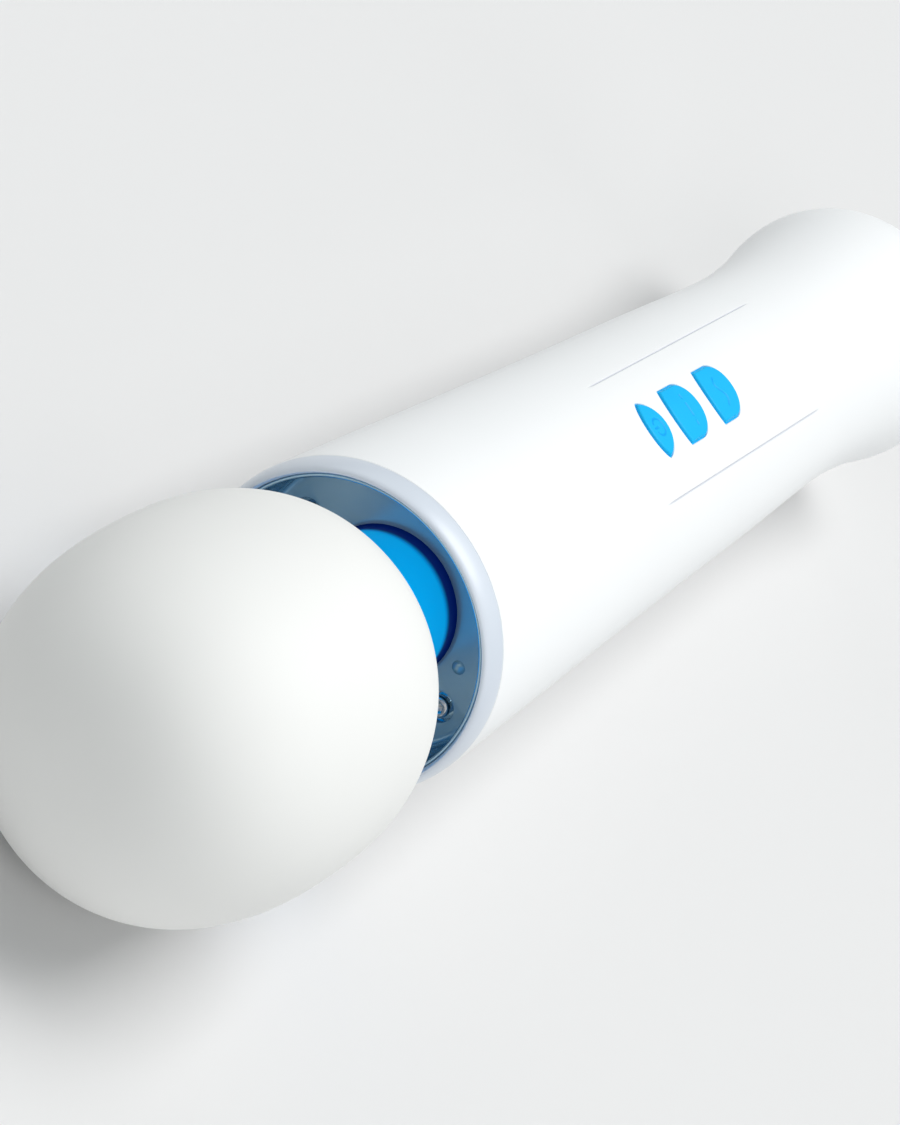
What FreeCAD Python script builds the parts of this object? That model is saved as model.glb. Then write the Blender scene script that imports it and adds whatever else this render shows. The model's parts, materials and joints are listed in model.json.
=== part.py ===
# Handheld wand massager, modelled as the separate pieces it comes apart into. Millimetres.
# While it is built, the wand's axis is X: the head is at +X, the keys face +Z, and x = 0 is the
# plane where the collar ring meets the handle sleeve. The finished wand is then laid down on its
# head and its flared foot, which tips the axis by about a degree.
import FreeCAD, Part
import math
import os
import Sketcher

Vec = FreeCAD.Vector
doc = FreeCAD.newDocument("wand_massager")
sheet = doc.addObject("Spreadsheet::Sheet", "Sizes")


class Size:
    """A length that carries both its value and the spreadsheet expression that gives it."""

    def __init__(self, value, text):
        self.value = value
        self.text = text

    @staticmethod
    def of(other):
        return other if isinstance(other, Size) else Size(float(other), f"{other:g}")

    def __add__(self, other):
        other = Size.of(other)
        return Size(self.value + other.value, f"({self.text} + {other.text})")

    def __sub__(self, other):
        other = Size.of(other)
        return Size(self.value - other.value, f"({self.text} - {other.text})")

    def __mul__(self, other):
        other = Size.of(other)
        return Size(self.value * other.value, f"({self.text} * {other.text})")

    def __truediv__(self, other):
        other = Size.of(other)
        return Size(self.value / other.value, f"({self.text} / {other.text})")

    def __rsub__(self, other):
        return Size.of(other) - self

    def root(self):
        return Size(math.sqrt(self.value), f"sqrt({self.text})")

    def __neg__(self):
        return Size(-self.value, f"(-{self.text})")

    __radd__ = __add__
    __rmul__ = __mul__


# ---------------------------------------------------------------- driving dimensions

DIMENSIONS = {
    # handle sleeve: overall length, wall, and the end's flat
    "handle_len": 229.8, "skin_wall": 1.6, "end_flat_rad": 24.9,
    # handle shells inside the sleeve
    "shell_gap": 0.3, "shell_wall": 2.0,
    # collar ring and collar plate
    "collar_rad": 29.0, "ring_bore": 27.3, "ring_high": 4.75,
    "plate_depth": 13.0, "plate_thick": 2.2, "plate_rad": 26.85, "plate_wall": 0.75,
    "plate_rim": 3.6, "plate_screw_ring": 20.0, "plate_screw_turn": 98.0,
    "dimple_ring": 17.0, "dimple_turn": 73.0, "dimple_rad": 1.25, "dimple_deep": 0.8,
    # head: superellipse of revolution
    "head_rad": 32.2, "head_mid": 42.1, "head_front": 40.9, "head_back": 34.2,
    "head_power": 2.5,
    "cover_wall": 2.5, "core_gap": 0.25, "core_wall": 2.6,
    # neck
    "neck_rad": 13.4, "neck_bore": 9.5, "neck_gap": 0.3, "bead_rad": 15.5, "neck_top": 18.7,
    "hoop_rad": 8.2, "hoop_wire": 1.8, "hoop_pitch": 3.5,
    # drive line
    "motor_rad": 14.0, "motor_front": 32.0, "motor_long": 38.0, "can_wall": 1.2,
    "motor_shaft_rad": 1.58, "head_shaft_rad": 3.0, "run_gap": 0.05,
    "hub_rad": 5.6, "spigot_rad": 3.8, "spigot_from": 14.0, "hub_from": 20.0, "hub_to": 27.0,
    "coupling_rad": 5.3, "coupling_bore": 4.0, "coupling_half": 19.2,
    "weight_rad": 17.0, "weight_from": 38.0, "weight_long": 16.0,
    "bush_rad": 6.0, "web_wide": 6.0, "rear_web": 29.0, "front_web": 60.0,
    # circuit board and keys
    "board_front": 74.0, "board_long": 52.0, "board_wide": 24.0, "board_low": 15.2,
    "board_thick": 1.6,
    "switch_high": 2.2, "plunger_up": 0.7,
    "key_half": 5.6, "key_gap": 0.35, "key_proud": 0.4, "key_corner": 2.0,
    # battery
    "cell_rad": 9.2, "cell_long": 65.0, "cell_front": 141.0, "cell_side": 9.35, "cell_drop": 3.0,
    # tail cap and charging socket
    "cap_rad": 20.0, "cap_thick": 4.5, "dock_rad": 8.0, "dock_deep": 2.0, "dock_wall": 1.5,
    "contact_rad": 1.2, "contact_side": 3.2,
}

# Half-width of the handle at stations along it: distance behind the collar plane, and radius.
HANDLE_STATIONS = [
    (0.0, 29.0), (15.3, 28.55), (50.0, 27.4), (100.0, 25.95), (150.0, 24.65),
    (182.0, 24.1), (200.0, 25.35), (213.0, 27.1), (222.0, 28.3),
]

# Each key: where its head-side and tail-side edges cross the middle line and meet its sides.
KEYS = {
    "power": (76.5, 79.2, 79.2, 83.8),
    "speed": (88.0, 89.5, 97.0, 99.8),
    "pattern": (104.7, 106.1, 113.5, 116.2),
}


def fill_sheet():
    """Write every driving dimension into the sheet, one row each, and return them as Sizes."""
    found = {}
    named = dict(DIMENSIONS)
    for index, (behind, radius) in enumerate(HANDLE_STATIONS):
        named[f"station_{index}_behind"] = behind
        named[f"station_{index}_radius"] = radius
    for key, edges in KEYS.items():
        for edge, behind in zip(("near_mid", "near_side", "far_side", "far_mid"), edges):
            named[f"{key}_{edge}"] = behind
    for row, (alias, value) in enumerate(named.items(), start=1):
        sheet.set(f"A{row}", alias)
        sheet.set(f"B{row}", f"{value}")
        sheet.setAlias(f"B{row}", alias)
        found[alias] = Size(float(value), f"Sizes.{alias}")
    doc.recompute()
    return found


D = fill_sheet()
ZERO = Size.of(0)

# ---------------------------------------------------------------- sketches and features

parts = []


def new_body(label):
    body = doc.addObject("PartDesign::Body", label)
    body.Label = label
    parts.append(body)
    return body


def new_sketch(body, plane, offset=ZERO):
    """A sketch on one of the body's own origin planes, moved along that plane's normal."""
    sketch = body.newObject("Sketcher::SketchObject", f"{body.Name}_sketch")
    support = next(f for f in body.Origin.OriginFeatures if f.Role == plane)
    sketch.AttachmentSupport = [(support, "")]
    sketch.MapMode = "FlatFace"
    sketch.setExpression("AttachmentOffset.Base.z", offset.text)
    return sketch


def pin_point(sketch, geometry, end, x, y):
    """Hold one end of a line or arc at x and y, which stay bound to the sheet."""
    for kind, size in (("DistanceX", x), ("DistanceY", y)):
        if abs(size.value) < 1e-9:
            axis = -2 if kind == "DistanceX" else -1
            sketch.addConstraint(Sketcher.Constraint("PointOnObject", geometry, end, axis))
            continue
        index = sketch.addConstraint(Sketcher.Constraint(kind, -1, 1, geometry, end, size.value))
        sketch.setExpression(f"Constraints[{index}]", size.text)


def flat_point(x, y):
    return Vec(Size.of(x).value, Size.of(y).value, 0)


def draw_outline(sketch, corners):
    """A closed outline. Corners are (x, y) Sizes; a list between two corners is a smooth curve
    through its points, from the corner before it to the corner after it."""
    ends = [c for c in corners if not isinstance(c, list)]
    curves = {}
    for index, corner in enumerate(corners):
        if isinstance(corner, list):
            curves[sum(not isinstance(c, list) for c in corners[:index]) - 1] = corner
    total = len(ends)
    for index, corner in enumerate(ends):
        start = flat_point(*corner)
        finish = flat_point(*ends[(index + 1) % total])
        if index in curves:
            curve = Part.BSplineCurve()
            curve.interpolate([start] + [flat_point(*p) for p in curves[index]] + [finish])
            sketch.addGeometry(curve, False)
        else:
            sketch.addGeometry(Part.LineSegment(start, finish), False)
    for index in curves:
        sketch.addConstraint(Sketcher.Constraint("Block", index))
    for index, corner in enumerate(ends):
        following = (index + 1) % total
        sketch.addConstraint(Sketcher.Constraint("Coincident", index, 2, following, 1))
        if index not in curves and (index - 1) % total not in curves:
            pin_point(sketch, index, 1, *[Size.of(v) for v in corner])


def fail_unless(changed, label):
    if not changed:
        raise RuntimeError(f"a feature of {label} changed nothing")


def bulk(shape):
    """A solid's volume, from a fine mesh where its faces are free curves."""
    free = (Part.BSplineSurface, Part.SurfaceOfRevolution)
    if not any(isinstance(face.Surface, free) for face in shape.Faces):
        return shape.Volume
    points, facets = shape.tessellate(0.05)
    return sum(points[a].dot(points[b].cross(points[c])) for a, b, c in facets) / 6


def add_feature(body, kind, sketch, **settings):
    """Add one sketch-based feature, and make sure that it added or removed material."""
    before = bulk(body.Shape) if body.Tip else 0
    doc.recompute()
    feature = body.newObject(kind, f"{body.Name}_{kind.split('::')[1]}")
    feature.Profile = sketch
    feature.Refine = False
    for name, value in settings.items():
        if isinstance(value, Size):
            feature.setExpression(name, value.text)
        else:
            setattr(feature, name, value)
    doc.recompute()
    grows = kind.endswith(("Pad", "Revolution"))
    after = bulk(body.Shape)
    fail_unless(after > before + 1e-3 if grows else after < before - 1e-3, body.Label)
    return feature


def below_axis(corners):
    """The same outline on the axis's other side."""
    return [below_axis(c) if isinstance(c, list) else (c[0], -Size.of(c[1])) for c in corners]


def turn(body, corners, plane="XZ_Plane", angle=360, flip=False):
    """Turn an outline of (x, radius) corners about the wand's axis. A full turn starts and ends
    at the bottom, so that its seam stays clear of the keys and screws."""
    sketch = new_sketch(body, plane)
    draw_outline(sketch, below_axis(corners) if plane == "XZ_Plane" else corners)
    axis = (sketch, ["H_Axis"])
    add_feature(body, "PartDesign::Revolution", sketch, ReferenceAxis=axis, Angle=angle, Reversed=flip)


def lathe(label, corners):
    body = new_body(label)
    turn(body, corners)
    return body


def circles(sketch, places, radius):
    """Circles of one radius; the places are (x, y) Sizes in the sketch's own plane."""
    for x, y in places:
        circle = Part.Circle(flat_point(x, y), Vec(0, 0, 1), radius.value)
        index = sketch.addGeometry(circle, False)
        pin_point(sketch, index, 3, Size.of(x), Size.of(y))
        bound = sketch.addConstraint(Sketcher.Constraint("Radius", index, radius.value))
        sketch.setExpression(f"Constraints[{bound}]", radius.text)


def rods(body, plane, offset, places, radius, length, cut=False, flip=False):
    """Round posts, or round holes, that start on a plane. Posts grow along its normal and holes
    go against it, unless flipped."""
    sketch = new_sketch(body, plane, Size.of(offset))
    circles(sketch, places, Size.of(radius))
    kind = "PartDesign::Pocket" if cut else "PartDesign::Pad"
    add_feature(body, kind, sketch, Length=Size.of(length), Reversed=flip)


def around(ring, angles):
    """Places on a ring about the axis, as (y, z); the angle counts from +Z towards +Y."""
    ring = Size.of(ring)
    found = []
    for angle in angles:
        angle = Size.of(angle)
        turned = math.radians(angle.value)
        y = Size(ring.value * math.sin(turned), f"({ring.text} * sin({angle.text} * 1 deg))")
        z = Size(ring.value * math.cos(turned), f"({ring.text} * cos({angle.text} * 1 deg))")
        found.append((y, z))
    return found


# ---------------------------------------------------------------- primitives and groups

def primitive(kind, label, **settings):
    item = doc.addObject(kind, label)
    for name, value in settings.items():
        if isinstance(value, Size):
            item.setExpression(name, value.text)
        else:
            setattr(item, name, value)
    return item


def place(item, x, y, z, rotation=None):
    if rotation:
        item.Placement = FreeCAD.Placement(Vec(0, 0, 0), rotation)
    for axis, value in zip("xyz", (x, y, z)):
        item.setExpression(f"Placement.Base.{axis}", Size.of(value).text)
    return item


ALONG_X = FreeCAD.Rotation(Vec(0, 1, 0), 90)


def block(label, low, sides):
    """A box from its lowest corner and its three sides."""
    length, width, height = (Size.of(v) for v in sides)
    return place(primitive("Part::Box", label, Length=length, Width=width, Height=height), *low)


def rod(label, base, radius, length, rotation=None, angle=360):
    """A cylinder that stands on its base centre, along Z unless it is turned."""
    made = primitive(
        "Part::Cylinder", label, Radius=Size.of(radius), Height=Size.of(length), Angle=Size.of(angle)
    )
    return place(made, *base, rotation)


def less(label, base, *tools):
    """The base with each tool cut away in turn."""
    for tool in tools:
        base = primitive("Part::Cut", label, Base=base, Tool=tool)
    return base


def joined(label, *items):
    return primitive("Part::MultiFuse", label, Shapes=list(items))


def keep(label, items):
    """Group finished solids as one sub-part under its own name."""
    group = primitive("Part::Compound", label, Links=list(items))
    group.Label = label
    parts.append(group)
    return group


def screw(base, direction, length, shank=1.0, head=2.0, high=1.5):
    """A socket-head screw. The base is under the head, and the shank runs along direction."""
    turned = FreeCAD.Rotation(Vec(0, 0, 1), direction)
    x, y, z = (Size.of(v) for v in base)
    top = [v - high * d for v, d in zip((x, y, z), direction)]
    shank_rod = rod("screw_shank", (x, y, z), shank, length, turned)
    head_rod = rod("screw_head", top, head, high, turned)
    hexagon = primitive("Part::Prism", "screw_socket", Polygon=6, Circumradius=Size.of(0.55 * head),
                        Height=Size.of(0.6 * high))
    place(hexagon, *top, turned)
    return less("screw", joined("screw_blank", head_rod, shank_rod), hexagon)


def free_shape(label, shape):
    """A sub-part whose form is worked out here, because no sketch feature gives it."""
    item = doc.addObject("Part::Feature", label)
    item.Label = label
    item.Shape = Part.makeCompound([shape])
    parts.append(item)
    return item


def lead(points, radius):
    """A wire's solid: straight runs joined by tangent arcs as large as the shorter run allows."""
    points = [Vec(*p) for p in points]
    edges = []
    here = points[0]
    for before, corner, after in zip(points, points[1:], points[2:]):
        into = (corner - before).normalize()
        out = (after - corner).normalize()
        turned = into.getAngle(out)
        back = 0.45 * min(corner.distanceToPoint(before), corner.distanceToPoint(after))
        start = corner - into * back
        finish = corner + out * back
        middle_line = (out - into).normalize()
        bend = back / math.tan(turned / 2)
        middle = corner + middle_line * (bend / math.cos(turned / 2) - bend)
        edges.append(Part.LineSegment(here, start).toShape())
        edges.append(Part.Arc(start, middle, finish).toShape())
        here = finish
    edges.append(Part.LineSegment(here, points[-1]).toShape())
    path = Part.Wire(edges)
    heading = (points[1] - points[0]).normalize()
    section = Part.Wire(Part.makeCircle(radius, points[0], heading))
    solid = path.makePipeShell([section], True, False)
    expected = math.pi * radius**2 * path.Length
    fail_unless(abs(solid.Volume - expected) < 0.02 * expected, "a lead")
    return solid


# ---------------------------------------------------------------- outer forms

def handle_curve(inset, first=0):
    """The handle's side line, moved inwards by inset, from a station to the end's flat."""
    points = []
    for index in range(first, len(HANDLE_STATIONS)):
        behind = D[f"station_{index}_behind"]
        points.append((-behind, D[f"station_{index}_radius"] - inset))
    flare_x, flare_r = points[-1]
    end_x = -(D["handle_len"] - inset)
    end_r = D["end_flat_rad"] - Size.of(inset) / 2
    for degrees in (30, 60, 90):
        across = math.sin(math.radians(degrees))
        down = math.cos(math.radians(degrees))
        points.append((flare_x + (end_x - flare_x) * across, end_r + (flare_r - end_r) * down))
    return points


def head_curve(inset, from_degrees, to_degrees, steps=14):
    """Points on the head's superellipse, moved inwards by inset; 0 degrees is the front pole."""
    power = 2 / D["head_power"].value
    radius = D["head_rad"].value - inset
    points = []
    for step in range(steps + 1):
        turned = math.radians(from_degrees + (to_degrees - from_degrees) * step / steps)
        reach = (D["head_front"] if math.cos(turned) > 0 else D["head_back"]).value - inset
        along = math.copysign(abs(math.cos(turned)) ** power, math.cos(turned))
        out = max(math.sin(turned), 0.0) ** power
        x = D["head_mid"].value + reach * along
        points.append((Size.of(round(x, 4)), Size.of(round(radius * out, 4))))
    return points


def head_degrees(inset, radius):
    """Where, behind the head's widest circle, its side line has a given radius."""
    share = (radius / (D["head_rad"].value - inset)) ** (D["head_power"].value / 2)
    return 180 - math.degrees(math.asin(share))


def core_radius(inset, x):
    """The head's radius at x, moved inwards by inset."""
    along = x - D["head_mid"].value
    reach = (D["head_front"] if along > 0 else D["head_back"]).value - inset
    power = D["head_power"].value
    return (D["head_rad"].value - inset) * (1 - abs(along / reach) ** power) ** (1 / power)


def key_sketch(body, key, offset, grow):
    """A key's outline: bowed edges towards head and tail, straight sides, and round far corners."""
    sketch = new_sketch(body, "XY_Plane", Size.of(offset))
    half = D["key_half"] + grow
    near_side = -(D[f"{key}_near_side"] - grow / 2)
    near_mid = -(D[f"{key}_near_mid"] - grow)
    far_side = -(D[f"{key}_far_side"] + grow / 2)
    far_mid = -(D[f"{key}_far_mid"] + grow)
    pointed = KEYS[key][1] == KEYS[key][2]
    corner = ZERO if pointed else D["key_corner"]
    if pointed:
        near_side = far_side = -D[f"{key}_near_side"]
    bows = (near_mid - near_side, far_side - far_mid)
    bends = [(half * half + bow * bow) / (bow * 2) for bow in bows]
    end_y = half - corner
    end_x = far_mid + bends[1] - (bends[1] * bends[1] - end_y * end_y).root()
    near = Part.Arc(flat_point(near_side, half), flat_point(near_mid, 0), flat_point(near_side, -half))
    far = Part.Arc(flat_point(end_x, -end_y), flat_point(far_mid, 0), flat_point(end_x, end_y))
    for index, (arc, bend) in enumerate(zip((near, far), bends)):
        sketch.addGeometry(arc)
        bound = sketch.addConstraint(Sketcher.Constraint("Radius", index, bend.value))
        sketch.setExpression(f"Constraints[{bound}]", bend.text)
    for sign in (1, -1):
        ends = [next(e for e in (1, 2) if sketch.getPoint(arc, e).y * sign > 0) for arc in (0, 1)]
        pin_point(sketch, 0, ends[0], near_side, half * sign)
        if pointed:
            sketch.addConstraint(Sketcher.Constraint("Coincident", 0, ends[0], 1, ends[1]))
            continue
        pin_point(sketch, 1, ends[1], end_x, end_y * sign)
        turn_in = far_side + corner
        side = sketch.addGeometry(Part.LineSegment(flat_point(near_side, half * sign),
                                                   flat_point(turn_in, half * sign)), False)
        middle = [(turn_in + end_x + far_side * 1.2) / 3.2, (half * 2.2 + end_y) / 3.2 * sign]
        bent = sketch.addGeometry(Part.Arc(flat_point(turn_in, half * sign), flat_point(*middle),
                                           flat_point(end_x, end_y * sign)))
        first = next(e for e in (1, 2) if abs(sketch.getPoint(bent, e).x - turn_in.value) < 1e-6)
        sketch.addConstraint(Sketcher.Constraint("Coincident", side, 1, 0, ends[0]))
        sketch.addConstraint(Sketcher.Constraint("Tangent", side, 2, bent, first))
        sketch.addConstraint(Sketcher.Constraint("Coincident", bent, 3 - first, 1, ends[1]))
        pin_point(sketch, side, 2, turn_in, half * sign)
    return sketch


def key_windows(body, grow):
    """Cut the three key openings through a wall."""
    for key in KEYS:
        sketch = key_sketch(body, key, 12, grow)
        add_feature(body, "PartDesign::Pocket", sketch, Length=Size.of(30), Reversed=True)


# ---------------------------------------------------------------- handle: sleeve and shells

def make_sleeve():
    """Soft-touch sleeve: one closed-ended tube, waisted near the tail and flared at its foot."""
    outer = handle_curve(0)
    inner = handle_curve(D["skin_wall"])
    body = new_body("handle_sleeve")
    outline = [outer[0], outer[1:-1], outer[-1], (outer[-1][0], D["cap_rad"] + 0.2),
               (inner[-1][0], D["cap_rad"] + 0.2), inner[-1], inner[-2:0:-1], inner[0]]
    turn(body, outline)
    key_windows(body, D["key_gap"].value)


# Screws that join two halves: pilot hole, clearance holes for shank and head, and their seat.
SCREW_PILOT = 1.0
SCREW_CLEAR = 1.15
HEAD_CLEAR = 2.2
SCREW_SEAT = -6.0
SCREW_LONG = 12.0
BOSSES = [(25.0, 20.5), (84.0, 18.5), (132.0, 17.0), (212.0, 19.0)]
BOSS_PLACES = [(-x, y * side) for x, y in BOSSES for side in (1, -1)]
BOARD_POSTS = [(-77.5, 8.5), (-77.5, -8.5), (-122.5, 8.5), (-122.5, -8.5)]
CAP_SCREW_ANGLES = (0, 120, 240)
CAP_SCREW_RING = 15.0
SEAT_THICK = 3.2


def make_shell(label, upper):
    """Half of the hard inner housing, split on the wand's middle plane."""
    outer_inset = D["skin_wall"] + D["shell_gap"]
    inner_inset = outer_inset + D["shell_wall"]
    outer = handle_curve(outer_inset, first=1)
    inner = handle_curve(inner_inset, first=1)[:-3]
    hole = D["cap_rad"] + 0.2
    seat = -(D["handle_len"] - D["cap_thick"] - 0.1)
    front = outer[0][0]
    groove = [(front, outer[0][1] - 0.3), (front - 1.2, outer[0][1] - 0.3),
              (front - 1.2, outer[0][1] - 1.7), (front, outer[0][1] - 1.7)]
    body = new_body(label)
    outline = [outer[0], outer[1:-1], outer[-1], (outer[-1][0], hole), (seat, hole),
               (seat, Size.of(12)), (inner[-1][0], Size.of(12)), inner[-1], inner[-2:0:-1], inner[0]]
    outline += groove[::-1]
    turn(body, outline, plane="XY_Plane", angle=180, flip=not upper)
    # Screw bosses stand on the split plane and run out into the wall.
    rods(body, "XY_Plane", 0, BOSS_PLACES, 2.6, 12.2, flip=not upper)
    if upper:
        rods(body, "XY_Plane", 0, BOSS_PLACES, SCREW_PILOT, 8, cut=True, flip=True)
        post_low = D["board_low"] + D["board_thick"]
        rods(body, "XY_Plane", post_low, BOARD_POSTS, 1.6, 4.7)
        rods(body, "XY_Plane", post_low, BOARD_POSTS, 0.8, 3.5, cut=True, flip=True)
        key_windows(body, D["key_gap"].value)
    else:
        rods(body, "XY_Plane", 0, BOSS_PLACES, SCREW_CLEAR, 7, cut=True)
        rods(body, "XY_Plane", SCREW_SEAT, BOSS_PLACES, HEAD_CLEAR, 24, cut=True)
    angles = [a for a in CAP_SCREW_ANGLES if (math.cos(math.radians(a)) > 0) == upper]
    rods(body, "YZ_Plane", -(D["handle_len"] - D["cap_thick"] - SEAT_THICK - 0.1),
         around(CAP_SCREW_RING, angles), 1.0, 4, cut=True)


make_sleeve()
make_shell("upper_shell", True)
make_shell("lower_shell", False)
keep("shell_screws", [screw((x, y, SCREW_SEAT), Vec(0, 0, 1), SCREW_LONG) for x, y in BOSS_PLACES])

# ---------------------------------------------------------------- collar

def make_collar():
    """Ring, chromed dish, its screws, the flange behind it and the seal under it."""
    ring_low = D["ring_bore"] + 0.3
    crown = []
    for degrees in (22.5, 45, 67.5):
        out = (D["collar_rad"] - ring_low) * math.cos(math.radians(degrees))
        crown.append((D["ring_high"] * math.sin(math.radians(degrees)), ring_low + out))
    grip = D["plate_rad"] + 0.05
    lathe("collar_ring", [(ZERO, grip), (ZERO, D["collar_rad"]), crown, (D["ring_high"], ring_low),
                          (D["ring_high"], D["ring_bore"]), (D["plate_rim"], grip)])

    floor = -D["plate_depth"]
    back = floor - D["plate_thick"]
    hole = D["neck_rad"] + D["neck_gap"]
    wall = D["plate_rad"] - D["plate_wall"]
    plate = lathe("collar_plate", [(back, hole), (back, D["plate_rad"]), (D["plate_rim"], D["plate_rad"]),
                                   (D["plate_rim"], wall), (floor, wall), (floor, hole)])
    screws = around(D["plate_screw_ring"], (D["plate_screw_turn"], -D["plate_screw_turn"]))
    rods(plate, "YZ_Plane", floor, screws, 2.85, 1.2, cut=True)
    rods(plate, "YZ_Plane", floor, screws, 1.1, 4, cut=True)
    rods(plate, "YZ_Plane", floor, around(D["dimple_ring"], (D["dimple_turn"],)),
         D["dimple_rad"], D["dimple_deep"], cut=True)
    keep("plate_screws", [screw((floor - 1.2, y, z), Vec(-1, 0, 0), 4.6, high=1.8) for y, z in screws])

    # The flange clamps the lower bead of the neck against the back of the plate.
    bead_room = D["bead_rad"] + D["neck_gap"]
    pocket = back - 3.0
    flange = lathe("neck_flange", [(back - 4.3, D["hub_rad"] + 0.9), (back - 4.3, Size.of(24.2)),
                                   (back, Size.of(24.2)), (back, bead_room), (pocket, bead_room),
                                   (pocket, D["hub_rad"] + 0.9)])
    rods(flange, "YZ_Plane", back, screws, 1.0, 4.0, cut=True)

    seal_ring = D["station_1_radius"] - D["skin_wall"] - D["shell_gap"] - 1.0
    seal = primitive("Part::Torus", "collar_o_ring", Radius1=seal_ring, Radius2=Size.of(0.55))
    place(seal, -D["station_1_behind"] - 0.6, 0, 0, ALONG_X)
    keep("collar_seal", [seal])


make_collar()

# ---------------------------------------------------------------- neck

HOOP_COUNT = 10


def make_neck():
    """Silicone sleeve with a bead at each end, over steel hoops that keep it round as it bends."""
    plate_back = -(D["plate_depth"] + D["plate_thick"])
    low = plate_back - 2.7
    top = D["neck_top"] - 0.3
    lathe("neck_sleeve", [(low, D["neck_bore"]), (low, D["bead_rad"]), (plate_back - 0.3, D["bead_rad"]),
                          (plate_back - 0.3, D["neck_rad"]), (top - 2.2, D["neck_rad"]),
                          (top - 2.2, D["bead_rad"]), (top, D["bead_rad"]), (top, D["neck_bore"])])
    hoops = []
    for index in range(HOOP_COUNT):
        hoop = primitive("Part::Torus", "hoop", Radius1=D["hoop_rad"], Radius2=D["hoop_wire"] / 2)
        hoops.append(place(hoop, low + 2.0 + D["hoop_pitch"] * index, 0, 0, ALONG_X))
    keep("neck_hoops", hoops)


make_neck()

# ---------------------------------------------------------------- head

CORE_BOSSES = [(38.0, 21.5), (38.0, -21.5), (54.0, 21.5), (54.0, -21.5)]


def make_cover():
    """Silicone cover, one closed cup with a hole at the back for the neck."""
    wall = D["cover_wall"].value
    mouth = D["neck_rad"].value + 0.6
    outer = head_curve(0, head_degrees(0, mouth), 0)
    inner = head_curve(wall, 0, head_degrees(wall, mouth))
    lathe("head_cover", [outer[0], outer[1:-1], outer[-1], inner[0], inner[1:-1], inner[-1]])


def make_core(label, upper):
    """Half of the hard core: a cup with the neck's socket behind it and two bearing webs."""
    outside = (D["cover_wall"] + D["core_gap"]).value
    inside = outside + D["core_wall"].value
    mouth = D["neck_rad"].value + D["neck_gap"].value
    web_front = D["neck_top"] + 2.5
    cavity_back = core_radius(inside, web_front.value)
    outer = head_curve(outside, head_degrees(outside, mouth), 0)
    inner = head_curve(inside, 0, head_degrees(inside, cavity_back))
    bead_room = D["bead_rad"] + D["neck_gap"]
    hub_room = D["hub_rad"] + 0.9
    groove_back = D["neck_top"] - 2.8
    body = new_body(label)
    outline = [outer[0], outer[1:-1], outer[-1], inner[0], inner[1:-1], inner[-1],
               (web_front, hub_room), (D["neck_top"], hub_room), (D["neck_top"], bead_room),
               (groove_back, bead_room), (groove_back, Size.of(mouth))]
    turn(body, outline, plane="XY_Plane", angle=180, flip=not upper)
    for web in (D["rear_web"], D["front_web"]):
        edge = min(core_radius(outside, x) for x in (web.value, (web + D["web_wide"]).value)) - 1.0
        corners = [(web, D["bush_rad"]), (web, Size.of(edge)),
                   (web + D["web_wide"], Size.of(edge)), (web + D["web_wide"], D["bush_rad"])]
        turn(body, corners, plane="XY_Plane", angle=180, flip=not upper)
    rods(body, "XY_Plane", 0, CORE_BOSSES, 2.5, 14.8, flip=not upper)
    if upper:
        rods(body, "XY_Plane", 0, CORE_BOSSES, SCREW_PILOT, 8, cut=True, flip=True)
    else:
        rods(body, "XY_Plane", 0, CORE_BOSSES, SCREW_CLEAR, 7, cut=True)
        rods(body, "XY_Plane", SCREW_SEAT, CORE_BOSSES, HEAD_CLEAR, 24, cut=True)


def make_bush(label, web):
    """Flanged bronze bush that the head shaft runs in."""
    bore = D["head_shaft_rad"] + D["run_gap"]
    lathe(label, [(web - 1.2, bore), (web - 1.2, D["bush_rad"] + 1.5), (web, D["bush_rad"] + 1.5),
                  (web, D["bush_rad"]), (web + D["web_wide"], D["bush_rad"]), (web + D["web_wide"], bore)])


make_cover()
make_core("head_core_upper", True)
make_core("head_core_lower", False)
keep("core_screws", [screw((x, y, SCREW_SEAT), Vec(0, 0, 1), SCREW_LONG) for x, y in CORE_BOSSES])
make_bush("rear_bush", D["rear_web"])
make_bush("front_bush", D["front_web"])

# ---------------------------------------------------------------- drive line in the head

def make_hub(label, side, shaft):
    """Drive hub: a spigot for the rubber tube on one end and a blind bore for the shaft on the other."""
    tip, step, end = D["spigot_from"], D["hub_from"], D["hub_to"]
    blind = step + 0.5
    corners = [(tip, ZERO), (tip, D["spigot_rad"]), (step, D["spigot_rad"]), (step, D["hub_rad"]),
               (end, D["hub_rad"]), (end, shaft), (blind, shaft), (blind, ZERO)]
    lathe(label, [(x * side, r) for x, r in corners])


def make_head_drive():
    shaft = D["head_shaft_rad"]
    make_hub("head_hub", 1, shaft)
    shaft_to = D["front_web"] + D["web_wide"] + 2
    lathe("eccentric_shaft", [(D["hub_from"] + 0.5, ZERO), (D["hub_from"] + 0.5, shaft),
                              (shaft_to, shaft), (shaft_to, ZERO)])
    # The weight is a segment below the shaft, so it hangs downwards when the wand is at rest.
    weight = new_body("eccentric_weight")
    near = D["weight_from"]
    far = near + D["weight_long"]
    collar, overlap = Size.of(6.5), Size.of(5.0)
    turn(weight, [(near, shaft), (near, collar), (far, collar), (far, shaft)])
    turn(weight, [(near, overlap), (near, D["weight_rad"]), (far, D["weight_rad"]), (far, overlap)],
         plane="XY_Plane", angle=180, flip=True)
    middle = near + D["weight_long"] / 2
    rods(weight, "XY_Plane", D["head_shaft_rad"], [(middle, ZERO)], 1.5, 6, cut=True, flip=True)
    grub = rod("grub_screw", (middle, 0, D["head_shaft_rad"]), 1.5, 3)
    slot = rod("grub_socket", (middle, 0, D["head_shaft_rad"] + 1.8), 0.8, 2)
    keep("weight_screw", [less("grub", grub, slot)])


make_head_drive()

# ---------------------------------------------------------------- motor

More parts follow.
